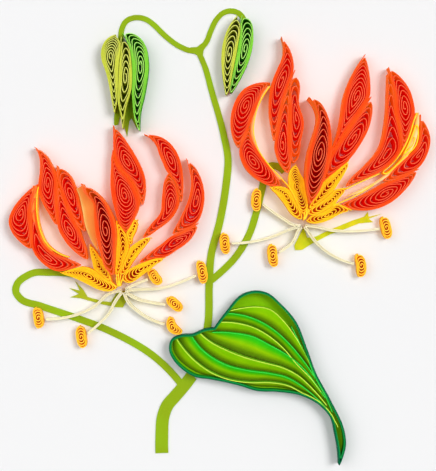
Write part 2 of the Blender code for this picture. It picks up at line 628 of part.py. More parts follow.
def coil_body(name, lines, base, height, slot, most_turns):
    """A rolled coil: a packed wall along its outline and an arm of inner turns from its tip."""
    left, right = lines
    share = np.linspace(0.0, 1.0, FINE_STATIONS)
    fine = [points_at_index(line, share) for line in (left, right)]
    middle = (fine[0] + fine[1]) / 2
    chord = (fine[0] - fine[1]) / 2
    half = np.linalg.norm(chord, axis=1)
    across = chord / np.maximum(half, 1e-6)[:, None]

    def place(mark, aside):
        centre = [np.interp(mark, share, middle[:, axis]) for axis in (0, 1)]
        toward = [np.interp(mark, share, across[:, axis]) for axis in (0, 1)]
        return np.array(centre) + aside * np.array(toward)

    span = open_run(share, half, WALL + PAPER / 2)
    count = len(left)
    outline = np.vstack([left, right[-2:0:-1]])
    if span is None:
        return standing_body(name, outline, [range(len(outline))], base, height, slot)
    marks = np.linspace(0.0, 1.0, count)
    inner = [i for i in range(count) if span[0] < marks[i] < span[1]]
    ends = [span[0], *marks[inner], span[1]]
    hole = [[place(end, way * (np.interp(end, share, half) - WALL)) for end in ends] for way in (1.0, -1.0)]
    points = [*outline, *hole[0], *hole[1]]
    outer = [list(range(count)), [0, *range(len(outline) - 1, count - 1, -1), count - 1]]
    holes = [[len(outline) + i for i in range(len(ends))],
             [len(outline) + len(ends) + i for i in range(len(ends))]]
    faces = []
    for rim, edge in zip(outer, holes):
        for step in range(len(inner) - 1):
            faces.append((rim[inner[step]], rim[inner[step + 1]], edge[step + 2], edge[step + 1]))
    first, last = inner[0], inner[-1]
    faces.append([*outer[0][first::-1], *outer[1][1:first + 1], holes[1][1], holes[1][0], holes[0][0],
                  holes[0][1]])
    faces.append([*outer[0][last:], *outer[1][last:count - 1][::-1], holes[1][-2], holes[1][-1],
                  holes[0][-1], holes[0][-2]])
    before = (holes[0][0], holes[1][0])
    known = {}
    for pair in arm_edges(share, half, span, marks[inner], most_turns):
        for edge in pair:
            if edge not in known:
                known[edge] = len(points)
                points.append(place(*edge))
        after = [known[edge] for edge in pair]
        faces.append(list(dict.fromkeys([before[0], *after, before[1]])))
        before = after
    return standing_body(name, points, faces, base, height, slot)


def points_at_index(line, shares):
    """Points of a line at the given shares of its count of corners."""
    marks = np.linspace(0.0, 1.0, len(line))
    return np.stack([np.interp(shares, marks, line[:, axis]) for axis in (0, 1)], axis=1)


def anther_coil(ends, width):
    """An oval coil between two ends, its middle bowed aside."""
    top, foot, bow = np.array(ends[0]), np.array(ends[1]), ends[2]
    along = (foot - top) / np.linalg.norm(foot - top)
    aside = np.array([along[1], -along[0]])
    shares = (0.03, 0.2, 0.5, 0.8, 0.97)
    spine = [top + (foot - top) * share + aside * bow * 4 * share * (1 - share) for share in shares]
    spread = [np.sqrt(1 - abs(2 * share - 1) ** 3) / 2 for share in shares]
    one = [tuple(point + aside * width * part) for point, part in zip(spine, spread)]
    two = [tuple(point - aside * width * part) for point, part in zip(spine, spread)]
    return tuple(top), one, tuple(foot), two


def lies_over(outline, sheets):
    """Whether an outline comes within the gap of any sheet's outline, from either side."""
    for sheet in sheets:
        for points, other in ((outline, sheet), (sheet, outline)):
            _, distance, inside, _ = nearest_on(points, other)
            if (inside | (distance < GAP)).any():
                return True
    return False


def place_coils(coils, origin, height, slot, placed, stations, turns):
    """Coils on the card, or just above the stem where it runs under them."""
    sheets = [outline for outline, _ in stem_nets()]
    for name, coil in coils.items():
        lines = settled_sides(coil_sides(coil, origin, stations), placed)
        base = ABOVE_SHEET if lies_over(placed[-1], sheets) else 0.0
        paper = "pale_green_paper" if name in PALE_BUDS else slot
        coil_body(name, lines, base, height - base, paper, turns)


def place_bloom(origin, petals, front, yellows, anthers, loop):
    placed = []
    place_coils(loop, origin, YELLOW_STRIP, "yellow_paper", placed, PETAL_STATIONS, 0.0)
    place_coils(front, origin, FRONT_STRIP, "red_paper", placed, PETAL_STATIONS, MOST_TURNS)
    place_coils(petals, origin, PETAL_STRIP, "red_paper", placed, PETAL_STATIONS, MOST_TURNS)
    place_coils(yellows, origin, YELLOW_STRIP, "yellow_paper", placed, SMALL_STATIONS, SMALL_TURNS)
    ovals = {name: anther_coil(ends, ANTHER_WIDTH) for name, ends in anthers.items()}
    place_coils(ovals, origin, ANTHER_STRIP, "anther_paper", placed, SMALL_STATIONS, SMALL_TURNS)
    return placed


def cut_clear(line, outlines, room):
    """Keeps the part of a line that comes before it meets any outline."""
    keep = np.ones(len(line), bool)
    for outline in outlines:
        _, distance, inside, _ = nearest_on(line, outline)
        keep &= ~inside & (distance >= room)
    hits = np.flatnonzero(~keep)
    return line[:hits[0]] if len(hits) else line


def place_filaments(name, heart, routes, origin, placed):
    """Thin strips on edge, glued together at the heart of the bloom."""
    room = GAP + FILAMENT_WIDTH / 4
    height = FILAMENT_STRIP - ABOVE_SHEET
    body = None
    for route in routes.values():
        line = smooth_line([heart, *route]) + origin
        line = points_at(line, np.linspace(0.0, 1.0, FINE_STATIONS))
        line = cut_clear(line, placed[-len(routes):], room)
        steps = max(2, round(lengths_along(line)[-1] / BAND_STEP))
        net = band_net(points_at(line, np.linspace(0.0, 1.0, steps + 1)), FILAMENT_WIDTH)
        if body is None:
            body = standing_body(name, *net, ABOVE_SHEET, height, "cream_paper")
        else:
            join(body, standing_body(name + "_strip", *net, ABOVE_SHEET, height, "cream_paper"))


def join(body, piece):
    """Unites a piece with the body; the piece itself is only a cutter."""
    piece.hide_render = True
    piece.display_type = "WIRE"
    union = body.modifiers.new("join_" + piece.name, "BOOLEAN")
    union.operation = "UNION"
    union.solver = "EXACT"
    union.object = piece


def stem_nets():
    """Outline and faces of each branch of the stem, and last of the left bud's backing."""
    nets = []
    for widths, points in STEM.values():
        centre = strip_centre(points)
        corners, faces = band_net(centre, np.linspace(*widths, len(centre)))
        count = len(centre)
        order = [*range(count), *range(2 * count - 1, count - 1, -1)]
        place = {corner: i for i, corner in enumerate(order)}
        nets.append((corners[order], [[place[corner] for corner in face] for face in faces]))
    return [*nets, (np.array(BUD_BACK), [range(len(BUD_BACK))])]


def place_stem():
    """One flat cut sheet: the stem with its branches, bud stalks and the left bud's backing."""
    first, *others = stem_nets()
    body = standing_body("stem", *first, 0.0, SHEET, "lime_paper")
    for number, net in enumerate(others, 1):
        join(body, standing_body("branch_%d" % number, *net, 0.0, SHEET, "lime_paper"))


def place_pistil(name, outline, origin):
    points = np.array(outline) + origin
    standing_body(name, points, [range(len(points))], 0.0, SHEET, "pistil_paper")


def leaf_outline():
    tip, side, notch, other = LEAF
    lines = [strip_centre([tip, *line, notch]) for line in (side, other)]
    return np.vstack([lines[0], lines[1][-2:0:-1]])


def drawn_in(outline, inset):
    """Outline drawn in by a distance, and for each corner the nearest one that still has room."""
    slope = np.roll(outline, -1, axis=0) - np.roll(outline, 1, axis=0)
    slope /= np.linalg.norm(slope, axis=1)[:, None]
    inward = np.column_stack([-slope[:, 1], slope[:, 0]]) * np.sign(signed_area(outline))
    drawn = outline + inward * inset
    _, distance, inside, _ = nearest_on(drawn, outline)
    roomy = np.flatnonzero(inside & (distance > 0.9 * inset))
    corners = np.arange(len(outline))
    return drawn, roomy[np.abs(corners[:, None] - roomy).argmin(axis=1)]


def place_leaf():
    """A flat blade with seven standing veins, inside a rim strip on edge."""
    outer = leaf_outline()
    inner, corner = drawn_in(outer, RIM_WIDTH)
    count = len(outer)
    faces = []
    for i in range(count):
        after = (i + 1) % count
        faces.append(list(dict.fromkeys([i, after, corner[after] + count, corner[i] + count])))
    standing_body("leaf_rim", np.vstack([outer, inner]), faces, ABOVE_SHEET, LEAF_STRIP - ABOVE_SHEET,
                  "teal_paper")
    sheet, corner = drawn_in(outer, RIM_WIDTH + GAP)
    blade = standing_body("leaf_blade", sheet, [np.unique(corner)], ABOVE_SHEET, SHEET, "lime_paper")
    for number, vein in enumerate(VEINS, 1):
        line = points_at(smooth_line(vein), np.linspace(0.0, 1.0, FINE_STATIONS))
        _, distance, inside, _ = nearest_on(line, outer)
        line = line[inside & (distance > RIM_WIDTH + GAP + 2 * VEIN_WIDTH)]
        steps = round(lengths_along(line)[-1] / VEIN_STEP)
        net = band_net(points_at(line, np.linspace(0.0, 1.0, steps + 1)), VEIN_WIDTH)
        root = ABOVE_SHEET + SHEET / 2
        join(blade, standing_body("vein_%d" % number, *net, root, LEAF_STRIP - root, "lime_paper"))


def build():
    clear_scene()
    left = place_bloom(LEFT_BLOOM, LEFT_PETALS, LEFT_FRONT, LEFT_YELLOWS, LEFT_ANTHERS, {})
    right = place_bloom(RIGHT_BLOOM, RIGHT_PETALS, RIGHT_FRONT, RIGHT_YELLOWS, RIGHT_ANTHERS, RIGHT_LOOP)
    place_filaments("left_filaments", LEFT_HEART, LEFT_ROUTES, LEFT_BLOOM, left)
    place_filaments("right_filaments", RIGHT_HEART, RIGHT_ROUTES, RIGHT_BLOOM, right)
    place_pistil("left_pistil", LEFT_PISTIL, LEFT_BLOOM)
    place_pistil("right_pistil", RIGHT_PISTIL, RIGHT_BLOOM)
    place_coils(BUDS, (0.0, 0.0), BUD_STRIP, "green_paper", [], PETAL_STATIONS, SMALL_TURNS)
    place_stem()
    place_leaf()


build()
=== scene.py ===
# Quilled paper sprig: two blooms, two buds and a leaf, rolled from paper strips on a flat cut stem.
# Drawings are in millimetres: blooms about their own centres, the rest about the foot of the stem.
import bpy
import numpy as np
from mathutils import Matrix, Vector


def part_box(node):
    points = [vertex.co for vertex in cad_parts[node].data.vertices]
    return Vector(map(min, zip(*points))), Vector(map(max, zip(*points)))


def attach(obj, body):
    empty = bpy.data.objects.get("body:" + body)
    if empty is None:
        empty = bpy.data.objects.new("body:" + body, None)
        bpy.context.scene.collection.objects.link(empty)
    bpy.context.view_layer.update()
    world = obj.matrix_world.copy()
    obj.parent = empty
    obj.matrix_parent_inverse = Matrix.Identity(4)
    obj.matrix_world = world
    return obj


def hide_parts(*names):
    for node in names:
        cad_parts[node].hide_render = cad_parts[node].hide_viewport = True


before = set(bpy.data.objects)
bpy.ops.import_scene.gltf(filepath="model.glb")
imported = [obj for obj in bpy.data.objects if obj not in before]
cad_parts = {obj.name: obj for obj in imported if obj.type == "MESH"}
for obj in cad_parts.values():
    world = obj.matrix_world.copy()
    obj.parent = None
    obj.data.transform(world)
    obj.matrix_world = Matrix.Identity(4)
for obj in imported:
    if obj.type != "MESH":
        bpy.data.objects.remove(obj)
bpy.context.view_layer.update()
metre = 1000.0          # millimetres in a metre
leftBloom = (-12.4, 48.9)
rightBloom = (42.6, 68.7)

strip = {
    "chamfer": 0.035,   # worn corner of the cut edge
    "grown": 0.1,       # how far a coil swells beyond its drawn outline where it stands free
    "reach": 1.1,       # room to a neighbour that both swell to close
    "close": 0.15,      # added to half that room, so that neighbours press against each other
    "gap": -0.05,       # room between coils glued side by side, less than none as paper gives
    "rounds": 8,        # times that a coil gives way to those laid before it
    "flare": 0.6,       # most that the foot of a strip spreads to one side
    "taper": 8,         # points beside its two ends over which it swells less
    "stations": 60,     # points on each side of a coil
    "blur": 4,          # neighbours on each side over which its swelling is averaged
    "eased": 3,         # times that its sides are eased
    "shares": 500,      # steps along the two sides in which the turns are placed
    "soft": 3,          # neighbours on each side over which its width is averaged
    "samples": 56,      # points in each turn
    "eyeEnd": 0.96,     # share of the turns that is laid before the strip ends in the eye
    "pitch": 0.2,       # of the turns packed along the flanks
    "fill": 0.97,       # most of the room between two turns that the paper takes
    "thinnest": 0.3,    # least share of its thickness that crowded paper keeps
    "ends": (2.2, 30.0),    # roundness of the inmost turn's ends, and how much sharper the outer ones are
    "core": 0.35,       # share of the half width that even a crowded turn keeps
    "sheet": 0.15,      # thickness of a sloping strip seen from the side
    "columns": 9,       # points across it
}
grain = {
    "roughness": 0.72,
    "specular": 0.06,
    "blotch": 260.0,    # scale of the slow blotches, of the fibres, and how deep the fibres are
    "fibre": 3200.0,
    "depth": 0.00004,
    "relief": 0.35,
}


# Paper seen close: colour = face or cut edge, paler where a strip stands alone, or a ramp of painted light
# and shade across a sloping strip, times slow blotches and fine fibres; the fibres are also a shallow bump.
# The faces between the turns take a darker, deeper copy of the paper's colour: painted shade. The paper also
# glows though it is no lamp, painted light: the faces between turns in one set colour, the outer faces in
# another that also warms the floor beside them, and cut edges, or all of a look without them, in its colour.
def paperMaterial(slot, look):
    material = bpy.data.materials.new(slot + "_look")
    material.use_nodes = True
    nodes, links = material.node_tree.nodes, material.node_tree.links
    shader = nodes["Principled BSDF"]
    shader.inputs["Roughness"].default_value = grain["roughness"]
    shader.inputs["Specular IOR Level"].default_value = grain["specular"]
    place = nodes.new("ShaderNodeTexCoord")

    def noise(scale, detail):
        node = nodes.new("ShaderNodeTexNoise")
        node.inputs["Scale"].default_value = scale
        node.inputs["Detail"].default_value = detail
        links.new(place.outputs["Object"], node.inputs["Vector"])
        return node.outputs["Fac"]

    def mix(share, first, second, mode="MIX"):
        node = nodes.new("ShaderNodeMix")
        node.data_type = "RGBA"
        node.blend_type = mode
        for name, value in (("Factor", share), ("A", first), ("B", second)):
            if isinstance(value, bpy.types.NodeSocket):
                links.new(value, node.inputs[name])
            else:
                node.inputs[name].default_value = (*value, 1.0) if isinstance(value, tuple) else value
        return node.outputs["Result"]

    def attribute(name):
        node = nodes.new("ShaderNodeAttribute")
        node.attribute_name = name
        return node.outputs["Fac"]

    def ranged(value, low, high, most=1.0):
        node = nodes.new("ShaderNodeMapRange")
        for name, number in (("From Min", low), ("From Max", high), ("To Max", most)):
            node.inputs[name].default_value = number
        links.new(value, node.inputs["Value"])
        return node.outputs["Result"]

    def ramp(value, stops):
        node = nodes.new("ShaderNodeValToRGB")
        marks = node.color_ramp.elements
        for position, _ in stops[1:-1]:
            marks.new(position)
        for mark, (position, stop) in zip(marks, stops):
            mark.position, mark.color = position, (*stop, 1.0)
        links.new(value, node.inputs["Fac"])
        return node.outputs["Color"]

    if "stops" in look:
        colour = ramp(attribute("across"), look["stops"])
    else:
        colour = look["face"]
    if "edge" in look:
        cut = mix(attribute("loose"), look["edge"], look.get("lone", look["edge"]))
        # Painted shade: the side faces go from the lighter outer-face colour on the outer turn to the darker
        # colour between the turns.
        side = mix(attribute("inner"), look.get("wall", look["face"]), look["face"])
        colour = mix(attribute("edge"), side, cut)
    blotch = ranged(noise(look.get("blotch", grain["blotch"]), 3.0), 0.3, 0.7)
    colour = mix(blotch, colour, look["shade"], "MULTIPLY")
    fibre = noise(grain["fibre"], 4.0)
    colour = mix(ranged(fibre, 0.35, 0.65, look.get("fibre", 0.12)), colour, look["pale"])
    links.new(colour, shader.inputs["Base Color"])
    # Painted light: emission makes the paper glow though it is no lamp; side faces glow in set colours, cut
    # edges in the paper's own colour times a strength.
    if "painted_self_light" in look:
        through = dark = (0.0, 0.0, 0.0)
        if "through" in look:
            through = mix(attribute("edge"), mix(attribute("inner"), look["painted_wall_light"], look["through"]), dark)
        if "edge" in look:
            colour = mix(attribute("edge"), dark, colour)
        links.new(mix(look["painted_self_light"], through, colour, "ADD"), shader.inputs["Emission Color"])
        shader.inputs["Emission Strength"].default_value = 1.0
    bump = nodes.new("ShaderNodeBump")
    bump.inputs["Strength"].default_value = grain["relief"]
    bump.inputs["Distance"].default_value = grain["depth"]
    links.new(fibre, bump.inputs["Height"])
    links.new(bump.outputs["Normal"], shader.inputs["Normal"])
    return material


# Colours are linear: "wall" outer face, "face" between the turns, "edge" packed cut edges, "lone" the edge
# of a strip that stands alone, "shade" what the blotches multiply by, "pale" the fibres and "stops" the
# ramp across a sloping strip. "face" is, in most looks, a darker copy of the paper's colour, painted shade on
# the side faces, and "wall" the lighter copy on the outer faces; the stops paint light and shade. The other
# keys are painted light: the colours given off by the faces between the turns and by the outer faces, and
# the strength with which a look glows in its own colour. Looks that share a paper start from its own values.
redPaper = {"edge": (1.0, 0.088, 0.008), "lone": (1.0, 0.2, 0.085), "shade": (0.98, 0.75, 0.7),
            "pale": (1.0, 0.16, 0.03)}
liningPaper = {"shade": (0.99, 0.86, 0.7), "pale": (1.0, 0.5, 0.1)}
leafPaper = {"shade": (0.8, 0.9, 0.5), "pale": (0.3, 0.7, 0.01)}
papers = {
    "red_paper": {**redPaper, "wall": (0.88, 0.185, 0.035), "face": (0.78, 0.006, 0.002),
                  "through": (0.15, 0.0006, 0.0), "painted_wall_light": (0.17, 0.05, 0.0), "painted_self_light": 0.09},
    "front_paper": {**redPaper, "wall": (0.92, 0.22, 0.045), "face": (0.75, 0.008, 0.003),
                    "through": (0.05, 0.0, 0.0), "painted_wall_light": (0.15, 0.045, 0.0), "painted_self_light": 0.13},
    "yellow_paper": {"wall": (0.97, 0.55, 0.06), "face": (0.75, 0.08, 0.004), "edge": (1.0, 0.58, 0.008),
                     "lone": (1.0, 0.66, 0.03), "shade": (0.98, 0.9, 0.6), "pale": (1.0, 0.68, 0.06),
                     "through": (0.07, 0.003, 0.0), "painted_wall_light": (0.14, 0.05, 0.0), "painted_self_light": 0.3},
    "anther_paper": {"wall": (0.97, 0.5, 0.06), "face": (0.72, 0.07, 0.004), "edge": (1.0, 0.55, 0.02),
                     "lone": (1.0, 0.60, 0.06), "shade": (0.97, 0.88, 0.6), "pale": (1.0, 0.6, 0.08),
                     "through": (0.08, 0.004, 0.0), "painted_wall_light": (0.12, 0.04, 0.0), "painted_self_light": 0.3},
    "cream_paper": {"face": (0.97, 0.88, 0.5), "edge": (0.99, 0.95, 0.72),
                    "shade": (0.98, 0.96, 0.88), "pale": (1.0, 0.98, 0.86)},
    "left_pistil": {"face": (0.46, 0.52, 0.02), "shade": (0.8, 0.85, 0.5), "pale": (0.55, 0.66, 0.08)},
    "right_pistil": {"face": (0.78, 0.72, 0.012), "shade": (0.7, 0.85, 0.5), "pale": (0.8, 0.8, 0.1)},
    "lime_paper": {"face": (0.30, 0.52, 0.008), "shade": (0.95, 0.72, 0.6), "pale": (0.36, 0.56, 0.03),
                   "blotch": 70.0, "fibre": 0.25},
    # These ramps paint warm light: red-orange at the first line of a leaning strip to pale yellow at the
    # second.
    "leaning_paper": {**liningPaper, "painted_self_light": 0.16,
                      "stops": ((0.0, (1.0, 0.20, 0.03)), (0.7, (1.0, 0.40, 0.09)), (0.86, (1.0, 0.56, 0.16)),
                                (1.0, (1.0, 0.76, 0.28)))},
    "lining_paper": {**liningPaper, "painted_self_light": 0.2,
                     "stops": ((0.0, (1.0, 0.20, 0.03)), (0.5, (1.0, 0.40, 0.06)), (0.8, (1.0, 0.55, 0.1)),
                               (1.0, (1.0, 0.74, 0.24)))},
    "pale_lining": {"painted_self_light": 0.15, "shade": (0.99, 0.93, 0.8), "pale": (1.0, 0.8, 0.4),
                    "stops": ((0.0, (1.0, 0.50, 0.08)), (0.3, (1.0, 0.70, 0.24)), (0.7, (1.0, 0.80, 0.36)),
                              (1.0, (1.0, 0.86, 0.5)))},
    "leaf_floor": {**leafPaper, "painted_self_light": 0.15, "face": (0.24, 0.50, 0.001), "shade": (0.75, 0.9, 0.5)},
    # These ramps paint light and shade across a band: bright by its vein, near black by the next.
    "yellow_band": {**leafPaper, "painted_self_light": 0.28,
                    "stops": ((0.0, (0.36, 0.80, 0.002)), (0.45, (0.38, 0.62, 0.001)),
                              (0.76, (0.13, 0.21, 0.001)), (1.0, (0.03, 0.05, 0.001)))},
    "green_band": {**leafPaper, "painted_self_light": 0.28, "pale": (0.2, 0.7, 0.01),
                   "stops": ((0.0, (0.01, 0.62, 0.02)), (0.2, (0.06, 0.62, 0.004)),
                             (0.48, (0.34, 0.58, 0.001)), (0.76, (0.12, 0.20, 0.001)),
                             (1.0, (0.03, 0.05, 0.001)))},
    "yellow_vein": {"painted_self_light": 0.2, "face": (0.22, 0.60, 0.01), "edge": (0.62, 0.82, 0.08),
                    "shade": (0.9, 0.95, 0.7), "pale": (0.8, 0.9, 0.2)},
    "green_vein": {"painted_self_light": 0.15, "face": (0.03, 0.55, 0.01), "edge": (0.04, 0.72, 0.06),
                   "shade": (0.8, 0.95, 0.8), "pale": (0.2, 0.8, 0.2)},
    "pale_green_paper": {"painted_self_light": 0.1, "face": (0.40, 0.44, 0.01), "edge": (0.72, 0.76, 0.07),
                         "lone": (0.80, 0.82, 0.20), "shade": (0.9, 0.93, 0.8), "pale": (0.8, 0.85, 0.2)},
    "green_paper": {"painted_self_light": 0.22, "face": (0.04, 0.36, 0.004), "edge": (0.27, 0.72, 0.05),
                    "lone": (0.46, 0.86, 0.18), "shade": (0.85, 0.92, 0.8), "pale": (0.3, 0.7, 0.1)},
    "teal_paper": {"face": (0.0, 0.14, 0.06), "edge": (0.0, 0.15, 0.06),
                   "shade": (0.8, 0.8, 0.85), "pale": (0.02, 0.36, 0.14)},
    "inner_rim": {"face": (0.01, 0.34, 0.03), "edge": (0.005, 0.33, 0.06),
                  "shade": (0.8, 0.85, 0.8), "pale": (0.03, 0.5, 0.12)},
}
materials = {slot: paperMaterial(slot, look) for slot, look in papers.items()}
print("papers made:", len(materials))


# A smooth curve through points: cubic pieces whose slope at each point is the mean of the two chords
# beside it, each weighted by the length of the other.
def smoothLine(points, steps=12):
    points = np.asarray(points, float)
    if len(points) == 2:
        return points
    reach = np.linalg.norm(np.diff(points, axis=0), axis=1)
    slope = np.diff(points, axis=0) / reach[:, None]
    middle = (slope[:-1] * reach[1:, None] + slope[1:] * reach[:-1, None]) / (reach[:-1] + reach[1:])[:, None]
    tangent = np.vstack([2 * slope[0] - middle[0], middle, 2 * slope[-1] - middle[-1]])
    t = np.linspace(0.0, 1.0, steps, endpoint=False)[None, :, None]
    start, end = points[:-1, None, :], points[1:, None, :]
    away = tangent[:-1, None, :] * reach[:, None, None]
    home = tangent[1:, None, :] * reach[:, None, None]
    curve = (start * (2 * t**3 - 3 * t**2 + 1) + away * (t**3 - 2 * t**2 + t)
             + end * (3 * t**2 - 2 * t**3) + home * (t**3 - t**2))
    return np.vstack([curve.reshape(-1, 2), points[-1]])


# Points at given shares of a line's length, by linear steps along it.
def pointsAt(line, shares):
    along = np.concatenate([[0.0], np.cumsum(np.linalg.norm(np.diff(line, axis=0), axis=1))])
    wanted = np.asarray(shares) * along[-1]
    return np.stack([np.interp(wanted, along, line[:, axis]) for axis in (0, 1)], axis=1)


# Evenly spaced points of a line, about one for each step of its length.
def evenLine(points, step):
    line = smoothLine(points)
    length = np.linalg.norm(np.diff(line, axis=0), axis=1).sum()
    return pointsAt(line, np.linspace(0.0, 1.0, max(3, round(length / step)) + 1))


# Unit slope of a line at each point and the direction a quarter turn to its left.
def slopeAndAside(line, closed=False):
    if closed:
        slope = np.roll(line, -1, axis=0) - np.roll(line, 1, axis=0)
    else:
        slope = np.gradient(line, axis=0)
    slope /= np.maximum(np.linalg.norm(slope, axis=1), 1e-9)[:, None]
    return slope, np.column_stack([-slope[:, 1], slope[:, 0]])


# Area inside a closed outline, positive where it runs against the clock.
def signedArea(outline):
    x, y = outline.T
    return 0.5 * np.sum(x * np.roll(y, -1) - y * np.roll(x, -1))


# Nearest point of a closed outline to each point: foot of the perpendicular on every edge, the least
# distance kept, and inside where a ray to the right crosses the outline an odd number of times.
def nearestOn(points, outline):
    start = outline
    run = np.roll(outline, -1, axis=0) - start
    away = points[:, None, :] - start[None, :, :]
    share = np.clip((away * run).sum(2) / np.maximum((run * run).sum(1), 1e-9), 0.0, 1.0)
    foot = start + share[:, :, None] * run
    distance = np.linalg.norm(points[:, None, :] - foot, axis=2)
    best = distance.argmin(axis=1)
    rows = np.arange(len(points))
    rising = (start[:, 1] > points[:, None, 1]) != ((start + run)[:, 1] > points[:, None, 1])
    level = (points[:, None, 1] - start[:, 1]) / np.where(run[:, 1] == 0, 1e-9, run[:, 1])
    crossing = rising & (points[:, None, 0] < start[:, 0] + level * run[:, 0])
    return foot[rows, best], distance[rows, best], crossing.sum(axis=1) % 2 == 1, best


# How far each point has to move straight away from an outline to keep the gap, which points are too near,
# and the edge nearest to each.
def pushOff(points, outline, gap):
    foot, distance, inside, edge = nearestOn(points, outline)
    signed = np.where(inside, -distance, distance)
    away = np.where(inside[:, None], foot - points, points - foot)
    away /= np.maximum(np.linalg.norm(away, axis=1), 1e-6)[:, None]
    return away * np.maximum(gap - signed, 0.0)[:, None], signed < gap, edge


# Lets an outline give way to those laid before it: each of its points nearer than the gap moves straight
# away from them, and both ends of each edge that their points poke into move off by the mean of the pokes.
def settled(outline, placed, gap):
    outline = outline.copy()
    for other in placed * strip["rounds"]:
        if np.maximum(outline.min(0) - other.max(0), other.min(0) - outline.max(0)).max() >= gap:
            continue
        outline += pushOff(outline, other, gap)[0]
        off, close, edge = pushOff(other, outline, gap)
        for end in (edge[close], (edge[close] + 1) % len(outline)):
            push = np.zeros((len(outline), 2))
            count = np.zeros(len(outline))
            np.add.at(push, end, -off[close])
            np.add.at(count, end, 1.0)
            outline += push / np.maximum(count, 1.0)[:, None]
    return outline


# Makes a mesh of corners in millimetres, with one number a corner for each named value, and hands it to
# the frame: it rides on the only body and stands for the nodes it names.
def addPiece(name, verts, faces, slot, nodes=(), values=None, look=None):
    mesh = bpy.data.meshes.new(name)
    mesh.from_pydata((np.asarray(verts) / metre).tolist(), [], faces)
    for key, numbers in (values or {}).items():
        column = mesh.attributes.new(key, "FLOAT", "POINT").data
        column.foreach_set("value", np.asarray(numbers, float).ravel())
    mesh.materials.append(materials[look or slot])
    piece = bpy.data.objects.new(name, mesh)
    bpy.context.scene.collection.objects.link(piece)
    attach(piece, "root")
    if nodes:
        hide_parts(*nodes)
    return piece


# Foot and crown of a piece of the frame, the least and greatest height of its box.
def levels(name):
    low, high = np.array(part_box(name)) * metre
    return low[2], high[2]


# A strip on edge: a six-cornered profile (foot, foot, shoulder, crown, crown, shoulder) carried along
# a path, with the width given at each point and the foot widened to either side by the flare. Gives
# corners, faces and how much of each corner is cut edge.
def stripMesh(path, width, base, top, closed=False, flare=(0.0, 0.0)):
    count = len(path)
    width = np.broadcast_to(width, count)
    top = np.broadcast_to(top, count)
    low = np.full(count, base)
    chamfer = np.minimum(strip["chamfer"], width / 4)
    half = width / 2
    sides = np.stack([-half - flare[1], half + flare[0], half, half - chamfer, chamfer - half, -half], axis=1)
    levels = np.stack([low, low, top - chamfer, top, top, top - chamfer], axis=1)
    aside = slopeAndAside(path, closed)[1]
    verts = np.dstack([path[:, None, :] + aside[:, None, :] * sides[:, :, None], levels]).reshape(-1, 3)
    ring = np.arange(count if closed else count - 1)[:, None]
    corner = np.arange(6)[None, :]
    after, beside = (ring + 1) % count, (corner + 1) % 6
    faces = np.stack([ring * 6 + corner, ring * 6 + beside, after * 6 + beside, after * 6 + corner], axis=2)
    faces = faces.reshape(-1, 4).tolist()
    if not closed:
        faces += [[5, 4, 3, 2, 1, 0], [(count - 1) * 6 + i for i in range(6)]]
    return verts, faces, np.tile([0, 0, 0, 1, 1, 0], count)


# Several strips as one mesh: their corners one after another, their faces counted on from those before.
def joined(parts):
    first = np.cumsum([0] + [len(part[0]) for part in parts])
    faces = [[corner + start for corner in face] for part, start in zip(parts, first) for face in part[1]]
    return np.vstack([part[0] for part in parts]), faces, np.concatenate([part[2] for part in parts])


# Adds several strips or sheets as one piece, with their third column under each of the keys.
def addJoined(name, parts, slot, keys, nodes=(), look=None):
    verts, faces, numbers = joined(parts)
    addPiece(name, verts, faces, slot, nodes, dict.fromkeys(keys, numbers), look)


# Paper that slopes between two lines: a grid of the points along both and the share across from one to
# the other. It drops from high to low as a power of the share that is left, and is closed by the same
# grid the paper's thickness lower.
def sheetBetween(near, far, high, low, bend):
    rows, columns = len(near), strip["columns"]
    across = np.linspace(0.0, 1.0, columns)
    flat = near[:, None, :] + (far - near)[:, None, :] * across[None, :, None]
    level = low + (high - low)[:, None] * (1.0 - across)**bend
    upper = np.dstack([flat, level]).reshape(-1, 3)
    verts = np.vstack([upper, upper - (0.0, 0.0, strip["sheet"])])
    corner = np.arange(rows - 1)[:, None] * columns + np.arange(columns - 1)[None, :]
    lid = np.stack([corner, corner + 1, corner + columns + 1, corner + columns], axis=2).reshape(-1, 4)
    count = rows * columns
    border = np.concatenate([np.arange(columns), np.arange(2, rows + 1) * columns - 1,
                             count - np.arange(2, columns + 1), np.arange(rows - 2, 0, -1) * columns])
    after = np.roll(border, -1)
    walls = np.stack([border + count, after + count, after, border], axis=1)
    faces = np.vstack([lid, lid[:, ::-1] + count, walls])
    along, beside = near[-1] - near[0], (far - near).sum(0)
    if along[0] * beside[1] > along[1] * beside[0]:
        faces = faces[:, ::-1]
    return verts, faces.tolist(), np.tile(np.tile(across, rows), 2)


